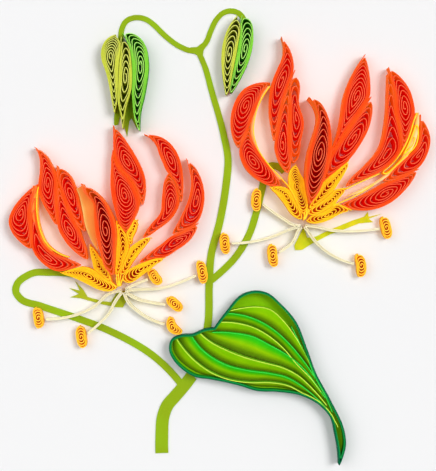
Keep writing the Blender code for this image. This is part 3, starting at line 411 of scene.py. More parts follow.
# A coil of one strip, pinched to the shape between two sides. Turn by turn the path goes up one side and
# back down the other: the share of the length swings between two ends that draw in to the eye, and the
# distance aside is the half width less the turns already laid. Towards both ends it is rounded off by the
# root of 1 - |2 swing - 1| to a power that is highest, and so squarest, in the outermost turns.
def coilPath(sides, eye, settings):
    paper = settings["paper"]
    share = np.linspace(0.0, 1.0, strip["shares"])
    marks = np.linspace(0.0, 1.0, len(sides[0]))
    left, right = [np.stack([np.interp(share, marks, side[:, i]) for i in (0, 1)], axis=1) for side in sides]
    middle, chord = (left + right) / 2, (left - right) / 2
    half = np.linalg.norm(chord, axis=1)
    across = chord / np.maximum(half, 1e-6)[:, None]
    across[0], across[-1] = across[1], across[-2]
    eyeShare = share[np.linalg.norm(middle - eye, axis=1).argmin()] if eye is not None else 0.5
    eyeHalf = max(np.interp(eyeShare, share, half), paper)
    length = np.linalg.norm(np.diff(middle, axis=0), axis=1).sum()
    band = settings["flank"] * eyeHalf
    packed = band / strip["pitch"]
    turns = packed + (eyeHalf - band) / settings["ring"]
    turn = np.linspace(0.0, turns * strip["eyeEnd"], round(turns * strip["samples"] * strip["eyeEnd"]) + 1)
    wound = turn / turns
    swing = (1.0 - np.cos(2.0 * np.pi * turn)) / 2.0
    inset = 0.5 * paper / length
    at = inset + (1.0 - 2.0 * inset) * (eyeShare * wound + (1.0 - wound) * swing)
    first = strip["pitch"] / 2
    laid = first + np.interp(turn, [0.0, packed, turns], [0.0, band, eyeHalf - first])
    here = np.interp(at, share, half)
    square = strip["ends"][0] + strip["ends"][1] * (1.0 - wound)**4
    aside = np.maximum(here - laid, strip["core"] * here * (1.0 - laid / eyeHalf))
    aside = aside * np.sqrt(np.maximum(1.0 - np.abs(2.0 * swing - 1.0)**square, 0.0))
    aside = aside * np.where(turn % 1.0 < 0.5, 1.0, -1.0)
    path = np.stack([np.interp(at, share, middle[:, i]) + aside * np.interp(at, share, across[:, i])
                     for i in (0, 1)], axis=1)
    return path, turn


# Mean of each number of a row and its neighbours, as many on each side as the reach.
def averaged(row, reach, beyond):
    count = 2 * reach + 1
    return np.convolve(np.pad(row, reach, mode=beyond), np.ones(count) / count, mode="valid")


# Width of a coil's strip at each point: the paper's own, or what the turns before and after leave it.
# Loose is 0 where the turns are packed and 1 where the nearest stands a strip's width or more away.
# Flare is how far the foot spreads to meet the turns beside it: half the room left on that side.
def coilWidth(path, turn, paper):
    lag = int(round(1.0 / (turn[1] - turn[0])))
    aside = slopeAndAside(path)[1]
    within, without = np.full(len(path), 1.0), np.full(len(path), paper)
    if len(path) > lag:
        step = path[lag:] - path[:-lag]
        inward = (step * aside[:-lag]).sum(1)
        within[:-lag] = np.abs(inward)
        without[lag:] = np.abs((step * aside[lag:]).sum(1))
        hand = np.sign(np.median(inward))
    else:
        hand = 1.0
    room = np.minimum(within, np.where(turn < 1.0, within, without))
    width = np.clip(strip["fill"] * room, strip["thinnest"] * paper, paper)
    loose = np.clip((room - paper) / paper, 0.0, 1.0)
    flares = [np.clip((side - width) / 2, 0.0, strip["flare"]) * strip["fill"] for side in (within, without)]
    flares = flares if hand > 0 else flares[::-1]
    return [averaged(line, strip["soft"], "edge") for line in (width, loose, *flares)]


# Outline of a coil as it is drawn: both sides evenly spaced from tip to heel, one out and one back.
def drawnOutline(coil, origin):
    tip, side, heel, other = coil[:4]
    shares = np.linspace(0.0, 1.0, strip["stations"])
    lines = [pointsAt(smoothLine([tip, *line, heel]), shares) + origin for line in (side, other)]
    return np.vstack([lines[0], lines[1][-2:0:-1]])


# Both sides of a coil from tip to heel. It swells past halfway to a neighbour within reach, settles beside
# the coils laid before and is eased a few times: each point moves to the mean of itself, counted twice, and
# its neighbours, the ends kept.
def coilSides(name, drawn, placed):
    outline = drawn[name]
    count = strip["stations"]
    outward = slopeAndAside(outline, True)[1] * -np.sign(signedArea(outline))
    corner = np.arange(len(outline))
    blunt = np.minimum(np.minimum(corner, len(outline) - corner), np.abs(corner - count + 1)) / strip["taper"]
    apart = np.full(len(outline), np.inf)
    for other, line in drawn.items():
        far = np.maximum(outline.min(0) - line.max(0), line.min(0) - outline.max(0)).max()
        if other != name and far < strip["reach"]:
            apart = np.minimum(apart, nearestOn(outline, line)[1])
    swell = np.where(apart < strip["reach"], apart / 2 + strip["close"], strip["grown"])
    swell = averaged(swell, strip["blur"], "wrap") * np.minimum(blunt, 1.0)
    outline = settled(outline + outward * swell[:, None], placed, strip["gap"])
    lines = [outline[:count], np.vstack([outline[0], outline[:count - 2:-1]])]
    for _ in range(strip["eased"]):
        for line in lines:
            line[1:-1] = (line[:-2] + 2 * line[1:-1] + line[2:]) / 4
    placed.append(np.vstack([lines[0], lines[1][-2:0:-1]]))
    return lines


# One rolled piece: the profile of a strip carried along the coil's path, with a crown that sinks by the
# share 0.5 + 0.25 sin(2.1 turn) + 0.25 sin(5.3 turn) of "uneven", as hand-rolled strips do.
def rollCoil(name, eye, drawn, placed, settings, slot):
    sides = coilSides(name, drawn, placed)
    base, crown = levels(name)
    path, turn = coilPath(sides, eye, settings)
    width, loose, *flare = coilWidth(path, turn, settings["paper"])
    phase = len(placed) * 1.7
    # Mask of painted shade and painted glow between the turns: none on the outer turn, full from the third
    # turn in, times the roll's share.
    inner = settings["paintedGapShare"] * np.clip((turn - 1.0) / 2.0, 0.0, 1.0)
    ripple = 0.5 + 0.25 * np.sin(2.1 * turn + phase) + 0.25 * np.sin(5.3 * turn + 2 * phase)
    verts, faces, edge = stripMesh(path, width, base, crown - settings["uneven"] * ripple, flare=flare)
    return addPiece(name + "_coil", verts, faces, slot, [name],
                    {"edge": edge, "loose": np.repeat(loose, 6), "inner": np.repeat(inner, 6)},
                    settings.get("look"))


# Each coil: tip, one side, heel, other side and the place of its eye.
leftPetals = {
    "left_petal_1_outer": (
        (-24.5, 30.8), [(-28.8, 27.3), (-31.9, 23.4), (-33.2, 19.8), (-32.3, 16.6), (-30.0, 13.8)],
        (-26.4, 11.0), [(-26.0, 28.2), (-26.6, 25.3), (-27.0, 22.4), (-26.9, 18.9), (-26.7, 14.5)],
        (-28.9, 22.0)),
    "left_petal_1_inner": (
        (-24.6, 30.2), [(-26.2, 24.6), (-26.4, 17.7), (-25.8, 11.1), (-23.4, 7.5), (-18.6, 4.8),
        (-14.6, 5.7)], (-11.1, 6.5), [(-25.1, 25.7), (-25.0, 21.2), (-24.1, 16.6), (-22.2, 12.4),
        (-19.5, 10.1), (-15.3, 8.3)], (-22.0, 8.1)),
    "left_petal_2_outer": (
        (-25.6, 42.0), [(-23.9, 38.7), (-23.8, 35.1), (-24.0, 30.9), (-23.4, 26.1), (-21.0, 21.6)],
        (-18.8, 18.0), [(-21.9, 39.3), (-20.4, 36.6), (-19.2, 32.7), (-19.0, 29.1), (-19.2, 24.6),
        (-19.0, 20.7)], (-21.7, 31.0)),
    "left_petal_2_front": (
        (-18.9, 36.4), [(-18.3, 33.3), (-17.2, 29.1), (-15.4, 24.6), (-13.1, 20.1)], (-10.2, 15.9),
        [(-15.3, 34.0), (-12.9, 29.1), (-11.4, 22.5), (-10.6, 19.0)], (-15.3, 27.6)),
    "left_petal_2_middle": (
        (-18.5, 31.5), [(-18.8, 26.7), (-18.6, 21.6), (-18.0, 17.1), (-15.9, 13.2), (-12.9, 10.2)],
        (-9.6, 7.8), [(-17.0, 26.7), (-14.4, 21.0), (-11.9, 16.2), (-10.2, 11.7)], (-15.0, 16.8)),
    "left_petal_4_outer": (
        (-2.0, 48.4), [(-1.9, 45.6), (-1.6, 41.1), (-1.2, 38.6), (0.6, 35.1), (3.0, 33.0), (5.1, 29.7),
        (6.2, 26.5)], (6.6, 23.7), [(-0.2, 46.6), (2.5, 42.9), (5.1, 38.6), (7.3, 33.5), (7.7, 29.2)],
        (1.9, 37.7)),
    "left_petal_4_inner": (
        (-2.1, 41.1), [(-2.5, 36.7), (-2.6, 28.7), (-1.9, 24.7), (-0.5, 20.6)], (1.8, 16.1), [(-1.5, 38.1),
        (0.4, 34.6), (2.8, 32.3), (5.4, 27.9), (5.7, 25.2), (4.1, 20.4)], (2.3, 27.8)),
    "left_petal_5_outer": (
        (7.1, 45.8), [(8.6, 45.0), (10.8, 42.6), (11.9, 39.4), (14.2, 34.6), (16.8, 30.9), (17.9, 27.6)],
        (18.3, 24.6), [(10.2, 45.5), (12.9, 44.7), (15.3, 42.9), (17.2, 40.2), (18.8, 34.0), (18.9, 29.6)],
        (14.9, 38.4)),
    "left_petal_5_inner": (
        (14.5, 33.9), [(13.4, 31.8), (12.9, 28.9), (12.6, 26.0), (12.2, 22.3), (9.1, 18.5)], (6.3, 14.1),
        [(16.3, 31.7), (17.5, 27.5), (17.4, 24.6), (15.2, 20.3), (13.0, 18.5), (9.1, 15.9)], (14.8, 25.4)),
    "left_petal_6_upper": (
        (19.8, 38.6), [(20.7, 35.4), (21.4, 31.5), (20.7, 26.8), (18.3, 21.1)], (15.0, 15.3), [(21.2, 37.5),
        (23.1, 35.1), (25.2, 29.2), (25.2, 25.0), (23.4, 19.9), (19.1, 17.0)], (22.7, 26.3)),
    "left_petal_6_lower": (
        (23.5, 19.2), [(18.6, 16.5), (15.2, 14.9), (13.0, 13.2), (9.9, 11.0), (6.8, 8.3)], (4.8, 6.5),
        [(22.9, 17.0), (21.4, 14.5), (16.8, 10.9), (13.7, 9.2), (9.9, 8.9), (7.4, 7.9)], (18.0, 13.8)),
}
leftFront = {
    "left_petal_3": (
        (-11.1, 30.8), [(-9.9, 27.9), (-7.3, 24.9), (-7.2, 22.0), (-6.8, 17.1), (-5.1, 10.0), (-3.7, 6.5)],
        (-1.5, 3.0), [(-8.8, 29.8), (-5.5, 27.2), (-2.3, 22.0), (-1.0, 16.3), (-1.5, 10.0)], (-4.5, 16.9)),
}
leftYellows = {
    "left_fill_1": (
        (-18.0, 4.4), [(-15.0, 3.4), (-12.0, 2.1), (-9.0, 0.6), (-6.0, -0.8), (-3.0, -1.2)], (-0.6, -0.1),
        [(-14.4, 5.4), (-10.5, 6.0), (-8.1, 5.1), (-3.6, 1.8)], (-9.3, 3.5)),
    "left_fill_2": (
        (-9.0, 12.9), [(-8.8, 10.8), (-8.2, 7.9), (-7.1, 5.0), (-5.1, 2.9)], (-2.4, 0.9), [(-6.5, 9.8),
        (-5.1, 7.2), (-3.7, 4.6)], (-6.3, 6.9)),
    "left_fill_3": (
        (-1.0, 19.9), [(-0.7, 15.6), (-0.9, 11.1), (-1.1, 6.6)], (-1.0, 2.7), [(0.0, 18.3), (2.0, 15.1),
        (2.5, 12.1), (1.2, 8.7), (0.2, 5.8)], (0.75, 10.8)),
    "left_fill_4": (
        (5.4, 20.1), [(4.0, 19.6), (2.6, 17.5), (2.2, 15.1)], (3.0, 12.4), [(5.0, 17.2), (4.0, 15.1)],
        (3.6, 16.5)),
    "left_fill_5": (
        (9.6, 14.8), [(6.9, 14.1), (3.9, 12.1), (2.6, 10.0), (0.9, 5.8)], (-0.1, 3.3), [(8.3, 13.2),
        (5.5, 9.6), (2.6, 5.9)], (4.8, 10.5)),
    "left_fill_6": (
        (13.6, 8.8), [(11.2, 8.4), (8.3, 7.6), (4.0, 5.6), (2.0, 4.1)], (0.5, 2.2), [(12.7, 8.0),
        (9.1, 5.8), (5.5, 2.6), (3.3, 1.3)], (6.9, 5.4)),
}
rightPetals = {
    "right_petal_1_outer": (
        (-9.9, 41.2), [(-13.5, 41.2), (-18.0, 39.3), (-21.2, 34.0), (-21.9, 29.5), (-21.2, 25.0)],
        (-19.4, 21.4), [(-12.1, 39.0), (-13.3, 36.0), (-15.0, 31.5), (-16.5, 28.2), (-18.3, 25.0)],
        (-17.9, 34.9)),
    "right_petal_1_inner": (
        (-16.2, 27.8), [(-18.1, 24.5), (-19.0, 19.5), (-18.2, 17.0), (-15.0, 13.2), (-11.5, 11.2)],
        (-6.5, 10.5), [(-15.5, 24.5), (-14.2, 21.8), (-11.5, 18.0), (-8.5, 13.6)], (-15.6, 17.7)),
    "right_petal_2_outer": (
        (-6.8, 55.2), [(-6.1, 50.0), (-8.3, 44.5), (-10.1, 38.0), (-10.4, 32.5), (-9.5, 27.0)],
        (-8.8, 22.9), [(-4.0, 51.0), (-3.0, 46.5), (-4.8, 40.5), (-6.6, 35.0), (-7.8, 29.5), (-8.3, 26.0)],
        (-6.3, 42.1)),
    "right_petal_2_middle": (
        (-4.4, 40.2), [(-6.3, 35.0), (-7.5, 29.5), (-8.6, 22.0), (-7.6, 18.0)], (-4.5, 13.9), [(-4.5, 35.0),
        (-4.6, 30.0), (-4.4, 24.0), (-4.1, 19.0)], (-6.2, 22.5)),
    "right_petal_2_inner": (
        (-2.7, 45.2), [(-3.9, 40.0), (-4.2, 35.0), (-4.2, 29.0), (-4.0, 23.0), (-3.8, 19.0)], (-3.0, 16.4),
        [(-1.1, 41.0), (-1.4, 35.0), (0.1, 29.5), (-0.8, 24.0), (-1.6, 18.6)], (-2.8, 30.5)),
    "right_petal_4_outer": (
        (18.4, 49.9), [(15.0, 44.6), (12.0, 37.5), (10.9, 30.5), (9.4, 23.5)], (7.4, 18.0), [(19.2, 46.5),
        (19.9, 40.5), (19.6, 37.0), (17.8, 34.0), (13.6, 28.4), (10.2, 23.5)], (15.6, 37.5)),
    "right_petal_4_inner": (
        (20.1, 37.2), [(18.2, 34.0), (14.0, 28.4), (10.4, 23.0), (8.2, 18.4), (6.5, 14.0)], (5.3, 11.3),
        [(20.6, 34.5), (19.9, 29.0), (16.6, 22.3), (13.6, 18.5), (9.0, 14.6)], (14.8, 24.9)),
    "right_petal_5_outer": (
        (25.2, 46.0), [(26.4, 43.0), (27.4, 38.5), (27.6, 33.0), (28.8, 28.5), (29.4, 24.5)], (29.5, 21.4),
        [(29.0, 42.9), (31.4, 39.7), (33.0, 33.5), (31.9, 27.0)], (29.6, 34.0)),
    "right_petal_5_inner": (
        (25.1, 44.0), [(25.0, 38.5), (24.3, 29.0), (22.6, 22.0), (17.7, 16.0), (14.2, 12.8)], (12.4, 9.9),
        [(27.0, 38.5), (27.4, 32.0), (29.0, 25.5), (28.6, 20.0), (25.5, 16.3), (19.5, 13.2), (15.0, 11.3)],
        (24.5, 19.0)),
    "right_petal_6_upper": (
        (34.8, 31.9), [(35.0, 26.5), (34.2, 22.4), (30.8, 18.8), (26.8, 14.9)], (23.2, 11.4), [(36.3, 29.2),
        (37.9, 24.5), (37.0, 20.0), (34.5, 16.2), (30.0, 14.0), (25.5, 12.2)], (34.7, 19.6)),
    "right_petal_6_lower": (
        (34.4, 15.6), [(30.0, 13.4), (25.5, 11.7), (21.8, 10.0), (16.0, 7.0)], (11.0, 4.9), [(32.8, 12.5),
        (30.3, 9.2), (25.3, 5.0), (20.0, 3.2), (14.5, 3.6)], (24.8, 7.7)),
}
rightFront = {
    "right_petal_3": (
        (1.0, 36.6), [(3.0, 34.0), (3.9, 30.5), (2.8, 26.0), (0.9, 20.0), (0.4, 15.0), (0.9, 10.0)],
        (1.5, 4.5), [(3.9, 35.6), (6.6, 31.5), (7.9, 24.0), (6.7, 16.0), (4.4, 9.7)], (4.3, 19.7)),
}
rightYellows = {
    "right_fill_1": (
        (-10.2, 10.3), [(-8.0, 8.0), (-6.0, 5.5), (-3.0, 1.5)], (-0.4, 0.2), [(-8.0, 10.3), (-5.0, 9.4),
        (-2.0, 4.4)], (-5.5, 7.5)),
    "right_fill_2": (
        (-2.3, 17.0), [(-4.3, 13.2), (-4.0, 9.0), (-2.3, 5.2)], (0.0, 1.9), [(-1.4, 15.0), (-0.1, 11.5),
        (0.7, 7.0), (0.7, 4.0)], (-2.1, 10.3)),
    "right_fill_4": (
        (13.6, 18.3), [(10.5, 15.6), (6.3, 12.0), (4.5, 8.6), (2.5, 5.4)], (1.3, 3.4), [(13.2, 16.5),
        (11.2, 12.4), (8.0, 8.5), (4.5, 5.7)], (8.3, 11.3)),
    "right_fill_5": (
        (12.8, 9.8), [(9.5, 9.0), (6.0, 6.4), (3.0, 4.1)], (0.9, 2.0), [(10.5, 6.6), (8.0, 4.3),
        (4.0, 2.4)], (8, 6.3)),
    "right_fill_6": (
        (14.4, 3.2), [(9.5, 4.5), (6.0, 2.8), (2.8, 1.4)], (0.5, 0.0), [(11.0, 2.1), (7.0, 0.0),
        (3.0, -0.8)], (7, 1.8)),
}
rightLoop = {
    "right_fill_7": (
        (33.7, 32.5), [(32.9, 29.5), (31.2, 24.2), (29.0, 20.1), (25.4, 16.1), (22.5, 13.6)], (20.6, 11.4),
        [(34.4, 27.0), (33.6, 22.8), (30.0, 19.2), (26.6, 15.9), (23.4, 12.6)], (31.5, 25.0)),
}

# Anthers: the two ends of each coil and how far its middle bows to the right of that line.
leftAnthers = {
    "left_anther_1": ((9.2, 5.0), (12.1, 1.0), 0.3),
    "left_anther_2": ((23.8, 8.0), (25.1, 1.0), -0.2),
    "left_anther_3": ((14.2, -3.2), (18.4, -7.0), 0.0),
    "left_anther_4": ((15.0, -8.9), (18.4, -13.9), 1.3),
    "left_anther_5": ((-12.0, -11.7), (-11.1, -18.3), 0.2),
    "left_anther_6": ((-25.2, -6.2), (-24.3, -12.4), -0.2),
}
rightAnthers = {
    "right_anther_1": ((-13.7, 9.8), (-14.0, 2.9), 0.3),
    "right_anther_2": ((-23.7, -3.5), (-23.1, -9.9), 0.2),
    "right_anther_3": ((-9.4, -6.9), (-8.6, -13.8), 0.2),
    "right_anther_4": ((16.4, -9.9), (17.2, -16.9), -0.7),
    "right_anther_5": ((24.0, 1.3), (25.5, -5.3), -0.2),
}
# Rolls: thickness of the paper, share of the half width that the imported turns take, pitch of the loose
# ones, how uneven the crown is, how far the inner turns take painted shade and painted glow, and look.
petalRoll = {"paper": 0.21, "flank": 0.32, "ring": 0.64, "uneven": 0.18, "paintedGapShare": 1.0}
frontRoll = {"paper": 0.22, "flank": 0.36, "ring": 0.7, "uneven": 0.18, "paintedGapShare": 1.0, "look": "front_paper"}
throatRoll = {"paper": 0.27, "flank": 0.6, "ring": 0.5, "uneven": 0.15, "paintedGapShare": 1.0}
loopRoll = {"paper": 0.35, "flank": 0.05, "ring": 1.0, "uneven": 0.05, "paintedGapShare": 0.0}
antherRoll = {"paper": 0.36, "flank": 0.45, "ring": 0.78, "uneven": 0.1, "paintedGapShare": 1.0}
anther = {"width": 2.9, "shares": (0.03, 0.2, 0.5, 0.8, 0.97)}


# An oval coil between two ends: its middle line bows aside as 4 s (1 - s) of the bow, and its half width
# is the square root of 1 - |2 s - 1| cubed, s being the share of the way.
def antherCoil(ends, width):
    top, foot, bow = np.array(ends[0]), np.array(ends[1]), ends[2]
    along = (foot - top) / np.linalg.norm(foot - top)
    aside = np.array([along[1], -along[0]])
    share = np.array(anther["shares"])[:, None]
    spine = top + (foot - top) * share + aside * bow * 4 * share * (1 - share)
    spread = aside * width * np.sqrt(1 - np.abs(2 * share - 1)**3) / 2
    return tuple(top), (spine + spread).tolist(), tuple(foot), (spine - spread).tolist()


# A bloom, rolled from the loop and the front petal to the anthers. Each coil winds between its two drawn
# sides, moved to the bloom's centre, and settles beside those rolled before it. Gives their outlines.
def makeBloom(origin, loop, front, petals, yellows, anthers):
    placed, drawn = [], {}
    ovals = {name: antherCoil(ends, anther["width"]) for name, ends in anthers.items()}
    groups = ((loop, loopRoll, "yellow_paper"), (front, frontRoll, "red_paper"),
              (petals, petalRoll, "red_paper"), (yellows, throatRoll, "yellow_paper"),
              (ovals, antherRoll, "anther_paper"))
    for coils, _, _ in groups:
        drawn.update({name: drawnOutline(coil, origin) for name, coil in coils.items()})
    for coils, settings, slot in groups:
        for name, coil in coils.items():
            eye = np.array(coil[4]) + origin if len(coil) > 4 else None
            rollCoil(name, eye, drawn, placed, settings, slot)
    return placed


leftOutlines = makeBloom(leftBloom, {}, leftFront, leftPetals, leftYellows, leftAnthers)
rightOutlines = makeBloom(rightBloom, rightLoop, rightFront, rightPetals, rightYellows, rightAnthers)
print("blooms rolled:", len(leftOutlines) + len(rightOutlines), "coils")

# Yellow strips on edge that line the throats and draw together at the hearts of the blooms.
throatStrip = {"paper": 0.3, "base": 0.6, "top": 4.9, "step": 0.6}
leftThroat = [
    [(-24.3, 30.0), (-24.8, 25.7), (-24.6, 21.2), (-23.7, 16.9), (-21.8, 13.0), (-19.2, 10.7), (-15.2, 9.0)],
    [(-2.6, 1.5), (-1.6, 0.6), (-0.9, 0.1)],
    [(-1.0, 3.2), (-0.9, 1.8), (-0.5, 0.2)],
    [(-0.3, 4.0), (-0.45, 2.2), (-0.2, 0.3)],
    [(0.3, 3.6), (0.0, 1.9), (0.0, 0.3)],
    [(0.9, 2.5), (0.4, 1.4), (0.2, 0.4)],
]
rightThroat = [
    [(-10.1, 40.3), (-12.9, 36.0), (-14.6, 31.0), (-15.0, 26.5), (-13.6, 21.4), (-10.6, 16.9), (-6.4, 12.4),
     (-4.2, 9.8), (-2.4, 6.2)],
    [(12.6, 9.5), (15.2, 10.8), (19.6, 12.8), (22.6, 14.1)],
    [(8.6, 4.6), (13.0, 6.4), (17.0, 8.4), (20.9, 10.9)],
    [(0.2, 2.4), (0.1, 1.2), (-0.1, 0.2)],
    [(1.0, 4.6), (0.8, 2.6), (0.2, 0.5)],
    [(1.4, 3.6), (1.0, 2.1), (0.4, 0.5)],
]


# Throat strips: the profile of a strip on edge carried along each smoothed and evenly stepped route.
def makeThroat(name, routes, origin):
    parts = [stripMesh(evenLine(np.array(route) + origin, throatStrip["step"]), throatStrip["paper"],
                       throatStrip["base"], throatStrip["top"]) for route in routes]
    addJoined(name, parts, "yellow_paper", ("edge", "loose"))


makeThroat("left_throat_strips", leftThroat, leftBloom)
makeThroat("right_throat_strips", rightThroat, rightBloom)

# Wide strips that lean between a petal and its lining. Each has its look, the heights it falls from and
# to, and two lines from tip to heart.
# Painted light: each strip's colour ramp paints warm light across it, and the strip glows; the first on the
# left is a sheet of painted light where the floor beside the front petal takes warm light reflected from it.
leaning = {"rows": 40}
leftLeaning = [
    ("leaning_paper", 9.7, 4.9,
     [(-10.7, 30.2), (-9.6, 27.9), (-7.0, 24.9), (-6.9, 22.0), (-6.6, 17.1), (-6.3, 13.5), (-5.9, 11.8)],
     [(-12.9, 29.4), (-12.1, 27.2), (-11.2, 23.3), (-10.2, 18.1), (-8.8, 14.6), (-7.6, 12.4), (-6.4, 10.9)]),
    ("lining_paper", 4.9, 3.4,
     [(-25.9, 30.4), (-26.4, 26.5), (-26.2, 22.0), (-24.9, 17.3), (-22.8, 13.2), (-20.4, 10.6)],
     [(-24.1, 30.0), (-24.6, 25.7), (-24.4, 21.2), (-23.5, 16.9), (-21.6, 13.0), (-19.6, 10.9)]),
]
rightLeaning = [
    ("pale_lining", 3.8, 4.8,
     [(33.9, 32.4), (32.9, 27.3), (31.2, 22.8), (28.2, 17.3), (23.7, 13.3), (17.7, 9.8), (12.2, 7.3)],
     [(34.4, 32.3), (34.2, 27.3), (33.2, 23.3), (30.2, 18.3), (26.2, 14.3), (21.2, 10.8), (15.2, 7.9)]),
    ("pale_lining", 3.4, 4.9,
     [(-10.9, 40.4), (-13.7, 36.2), (-15.5, 31.0), (-15.9, 26.5), (-14.4, 21.2), (-11.4, 16.6), (-7.4, 12.2)],
     [(-10.3, 40.2), (-12.9, 36.0), (-14.5, 31.0), (-14.9, 26.5), (-13.5, 21.4), (-10.5, 16.9),
      (-6.6, 12.6)]),
]


# Leaning strips: both lines are smoothed and cut at the same shares of their lengths, and the paper falls
# in a straight slope from one to the other.
def makeLeaning(side, strips, origin):
    share = np.linspace(0.0, 1.0, leaning["rows"])
    for number, (look, high, low, near, far) in enumerate(strips):
        near, far = [pointsAt(smoothLine(line), share) + origin for line in (near, far)]
        verts, faces, across = sheetBetween(near, far, np.full(len(share), high), low, 1.0)
        name = "%s_leaning_strip_%d" % (side, number + 1)
        addPiece(name, verts, faces, "yellow_paper", (), {"across": across}, look)


makeLeaning("left", leftLeaning, leftBloom)
makeLeaning("right", rightLeaning, rightBloom)

buds = {
    "left_bud_left": (
        (-13.6, 124.4), [(-15.5, 123.6), (-17.3, 121.6), (-18.0, 118.7), (-16.2, 112.1), (-15.0, 106.0)],
        (-14.0, 100.0), [(-12.6, 122.6), (-12.9, 114.3), (-13.3, 106.5)], (-15.9, 118.3)),
    "left_bud_middle": (
        (-12.0, 123.8), [(-12.3, 120.5), (-12.6, 114.0), (-12.8, 105.5), (-11.9, 98.9)], (-11.5, 94.9),
        [(-10.4, 121.8), (-9.1, 116.0), (-9.0, 109.9), (-10.7, 101.1)], (-10.8, 112.1)),
    "left_bud_right": (
        (-11.8, 124.9), [(-9.8, 122.2), (-8.8, 116.5), (-8.5, 107.0), (-8.1, 100.0)], (-6.2, 94.5),
        [(-8.6, 124.9), (-5.2, 122.3), (-3.8, 116.9), (-4.6, 108.5), (-6.4, 99.5)], (-6.3, 115.6)),
    "right_bud_left": (
        (22.7, 130.1), [(20.2, 126.6), (18.4, 121.6), (18.0, 116.3), (18.6, 110.5)], (19.4, 105.5),
        [(23.4, 127.0), (22.7, 121.1), (21.0, 112.5)], (20.2, 119.0)),
    "right_bud_right": (
        (24.0, 130.2), [(23.8, 126.0), (22.7, 119.0), (21.3, 112.0)], (20.6, 106.1), [(26.4, 129.0),
        (27.6, 123.5), (26.4, 117.2), (23.4, 110.8)], (25.0, 120.1)),
}
budRoll = {"paper": 0.25, "flank": 0.4, "ring": 0.6, "uneven": 0.15, "paintedGapShare": 0.0}
paleBuds = ("left_bud_left", "left_bud_middle", "right_bud_left")
budOutlines = []
drawnBuds = {name: drawnOutline(coil, (0.0, 0.0)) for name, coil in buds.items()}
# Each bud's coils wind between their drawn sides, every one beside those rolled before it.
for name, coil in buds.items():
    slot = "pale_green_paper" if name in paleBuds else "green_paper"
    rollCoil(name, coil[4], drawnBuds, budOutlines, budRoll, slot)
print("buds rolled:", len(budOutlines))

leftHeart = (1.0, -1.1)
leftRoutes = {
    "left_anther_1": [(5.0, 1.0), (11.0, 3.0)],
    "left_anther_2": [(6.6, -0.7), (12.3, -0.4), (18.1, 1.4), (24.2, 4.2)],
    "left_anther_3": [(5.6, -3.8), (9.4, -4.7), (16.0, -5.5)],
    "left_anther_4": [(2.7, -5.0), (5.6, -7.6), (9.4, -9.9), (15.6, -11.6)],
    "left_anther_5": [(-1.9, -5.0), (-3.0, -7.3), (-6.2, -10.9), (-11.6, -15.2)],
    "left_anther_6": [(-3.0, -1.9), (-8.1, -6.1), (-13.9, -8.6), (-19.6, -9.6), (-24.8, -9.6)],
}
rightHeart = (-0.1, -1.4)
rightRoutes = {
    "right_anther_1": [(-3.6, -0.9), (-5.5, 0.3), (-9.8, 3.2), (-14.0, 6.6)],
    "right_anther_2": [(-3.3, -2.3), (-9.6, -4.8), (-16.0, -6.3), (-23.5, -6.6)],
    "right_anther_3": [(-1.2, -2.5), (-3.3, -6.5), (-6.0, -8.6), (-9.0, -10.4)],
    "right_anther_4": [(0.9, -2.5), (3.9, -6.5), (9.4, -10.7), (17.2, -13.2)],
    "right_anther_5": [(2.3, -1.5), (9.4, -2.9), (15.8, -3.0), (25.0, -2.0)],
}
filament = {
    "paper": 0.26,
    "apart": 0.62,      # between the two runs of the folded strip, at the heart
    "narrowed": 0.75,   # share of that at the anther
    "step": 0.5,
    "fine": 0.2,        # step while the line is cut clear of the anthers
    "start": 0.7,       # bare round about the heart
    "sunk": 0.35,       # of the strip between the two runs
}


# The part of a line that comes before it meets any outline.
def cutClear(line, outlines, room):
    keep = np.ones(len(line), bool)
    for outline in outlines:
        _, distance, inside, _ = nearestOn(line, outline)
        keep &= ~inside & (distance >= room)
    hits = np.flatnonzero(~keep)
    return line[:hits[0]] if len(hits) else line


# Filaments of a bloom: each is a strip folded at the heart, so its path runs in half the space beside the
# route, round a half circle and out on the other side, with a second strip sunk between the two.
def makeFilaments(name, heart, routes, origin, placed):
    base, crown = levels(name)
    parts = []
    for route in routes.values():
        line = evenLine(np.array([heart, *route]) + origin, filament["fine"])
        line = cutClear(line, placed[-len(routes):], filament["apart"] / 2 + filament["paper"] / 2)
        line = pointsAt(line, np.linspace(0.0, 1.0, round(len(line) * filament["fine"] / filament["step"])))
        reach = np.linalg.norm(line - line[0], axis=1)
        line = line[reach >= filament["start"]]
        slope, aside = slopeAndAside(line)
        radius = filament["apart"] / 2 * np.linspace(1.0, filament["narrowed"], len(line))[:, None]
        turn = np.linspace(0.0, np.pi, 9)[1:-1, None]
        fold = line[0] + radius[0] * (np.cos(turn) * aside[0] - np.sin(turn) * slope[0])
        path = np.vstack([(line + radius * aside)[::-1], fold, line - radius * aside])
        parts.append(stripMesh(path, filament["paper"], base, crown))
        parts.append(stripMesh(line, filament["paper"], base, crown - filament["sunk"]))
    addJoined(name + "_strips", parts, "cream_paper", ("edge", "loose"), [name])


makeFilaments("left_filaments", leftHeart, leftRoutes, leftBloom, leftOutlines)
makeFilaments("right_filaments", rightHeart, rightRoutes, rightBloom, rightOutlines)
print("filaments laid")

